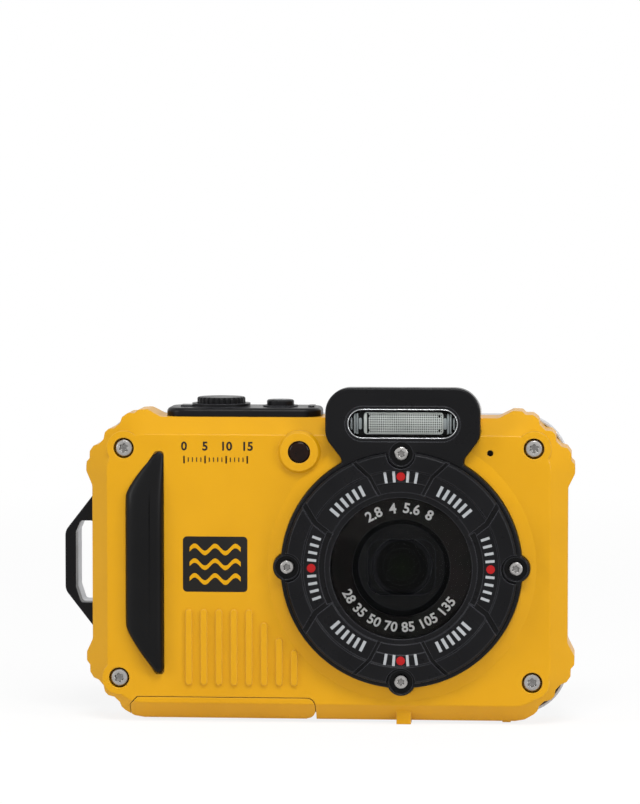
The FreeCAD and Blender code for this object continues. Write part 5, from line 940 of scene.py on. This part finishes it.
def seen_rays(tree):
    """One for rays that look, straight, mirrored or through glass; zero for those that light."""
    path = tree.nodes.new("ShaderNodeLightPath")
    seen = path.outputs["Is Camera Ray"]
    for kind in ("Is Glossy Ray", "Is Transmission Ray"):
        larger = tree.nodes.new("ShaderNodeMath")
        larger.operation = "MAXIMUM"
        tree.links.new(seen, larger.inputs[0])
        tree.links.new(path.outputs[kind], larger.inputs[1])
        seen = larger.outputs["Value"]
    return seen


# The paper glows white for rays that look, less so near the object, where its
# shadow shows.
paper, tree, shader = start_finish("paper", (0.93, 0.93, 0.93), 0.9)
glow = tree.nodes.new("ShaderNodeEmission")
part = tree.nodes.new("ShaderNodeMixShader")
place = tree.nodes.new("ShaderNodeTexCoord")
far = tree.nodes.new("ShaderNodeVectorMath")
far.operation = "LENGTH"
tree.links.new(place.outputs["Object"], far.inputs[0])
glare = tree.nodes.new("ShaderNodeMapRange")
glare.inputs["From Min"].default_value = 0.15
glare.inputs["From Max"].default_value = 0.6
glare.inputs["To Min"].default_value = 0.85
glare.inputs["To Max"].default_value = 1.0
tree.links.new(far.outputs["Value"], glare.inputs["Value"])
share = tree.nodes.new("ShaderNodeMath")
share.operation = "MULTIPLY"
tree.links.new(glare.outputs["Result"], share.inputs[1])
tree.links.new(seen_rays(tree), share.inputs[0])
tree.links.new(share.outputs["Value"], part.inputs["Fac"])
tree.links.new(shader.outputs["BSDF"], part.inputs[1])
tree.links.new(glow.outputs["Emission"], part.inputs[2])
tree.links.new(part.outputs["Shader"], tree.nodes["Material Output"].inputs["Surface"])
floor_mesh.materials.append(paper)

world = bpy.data.worlds.new("room")
bpy.context.scene.world = world
world.use_nodes = True
tree = world.node_tree
air = tree.nodes["Background"]
air.inputs["Color"].default_value = (1, 1, 1, 1)
ROOM_LEVEL = 0.34
level = tree.nodes.new("ShaderNodeMapRange")
level.inputs["To Min"].default_value = ROOM_LEVEL
level.inputs["To Max"].default_value = 1.0
tree.links.new(seen_rays(tree), level.inputs["Value"])
tree.links.new(level.outputs["Result"], air.inputs["Strength"])


def soft_lamp(name, place, size, power):
    """Area lamp of size (width, height), turned to the middle of the object."""
    lamp = bpy.data.lights.new(name, "AREA")
    lamp.shape = "RECTANGLE"
    lamp.size = size[0]
    lamp.size_y = size[1]
    lamp.energy = power
    stand = bpy.data.objects.new(name, lamp)
    bpy.context.collection.objects.link(stand)
    stand.location = place
    stand.rotation_euler = (LIT_PLACE - Vector(place)).to_track_quat("-Z", "Y").to_euler()


LIT_PLACE = Vector((0, 0, 30 * MM))
soft_lamp("top_lamp", (0.1, -0.55, 0.9), size=(0.5, 0.3), power=7.1)
soft_lamp("right_lamp", (0.9, -0.55, 0.45), size=(0.3, 0.5), power=4.6)
soft_lamp("left_lamp", (-0.9, -0.5, 0.4), size=(0.25, 0.5), power=3.0)

# PHOTO_LONG_SIDE is the height that the picture covers where the lens is aimed.
PHOTO_LONG_SIDE = 178.6 * MM
SENSOR_WIDTH = 36
camera_place = Vector((0.0603, -0.800, 0.1198))
camera_aim = Vector((0.0003, -0.00615, 0.0716))
lens_data = bpy.data.cameras.new("camera")
camera = bpy.data.objects.new("camera", lens_data)
bpy.context.collection.objects.link(camera)
camera.location = camera_place
camera.rotation_euler = (camera_aim - camera_place).to_track_quat("-Z", "Y").to_euler()
lens_data.sensor_width = SENSOR_WIDTH
lens_data.lens = SENSOR_WIDTH * (camera_aim - camera_place).length / PHOTO_LONG_SIDE
bpy.context.scene.camera = camera
bpy.context.scene.view_settings.view_transform = "Standard"
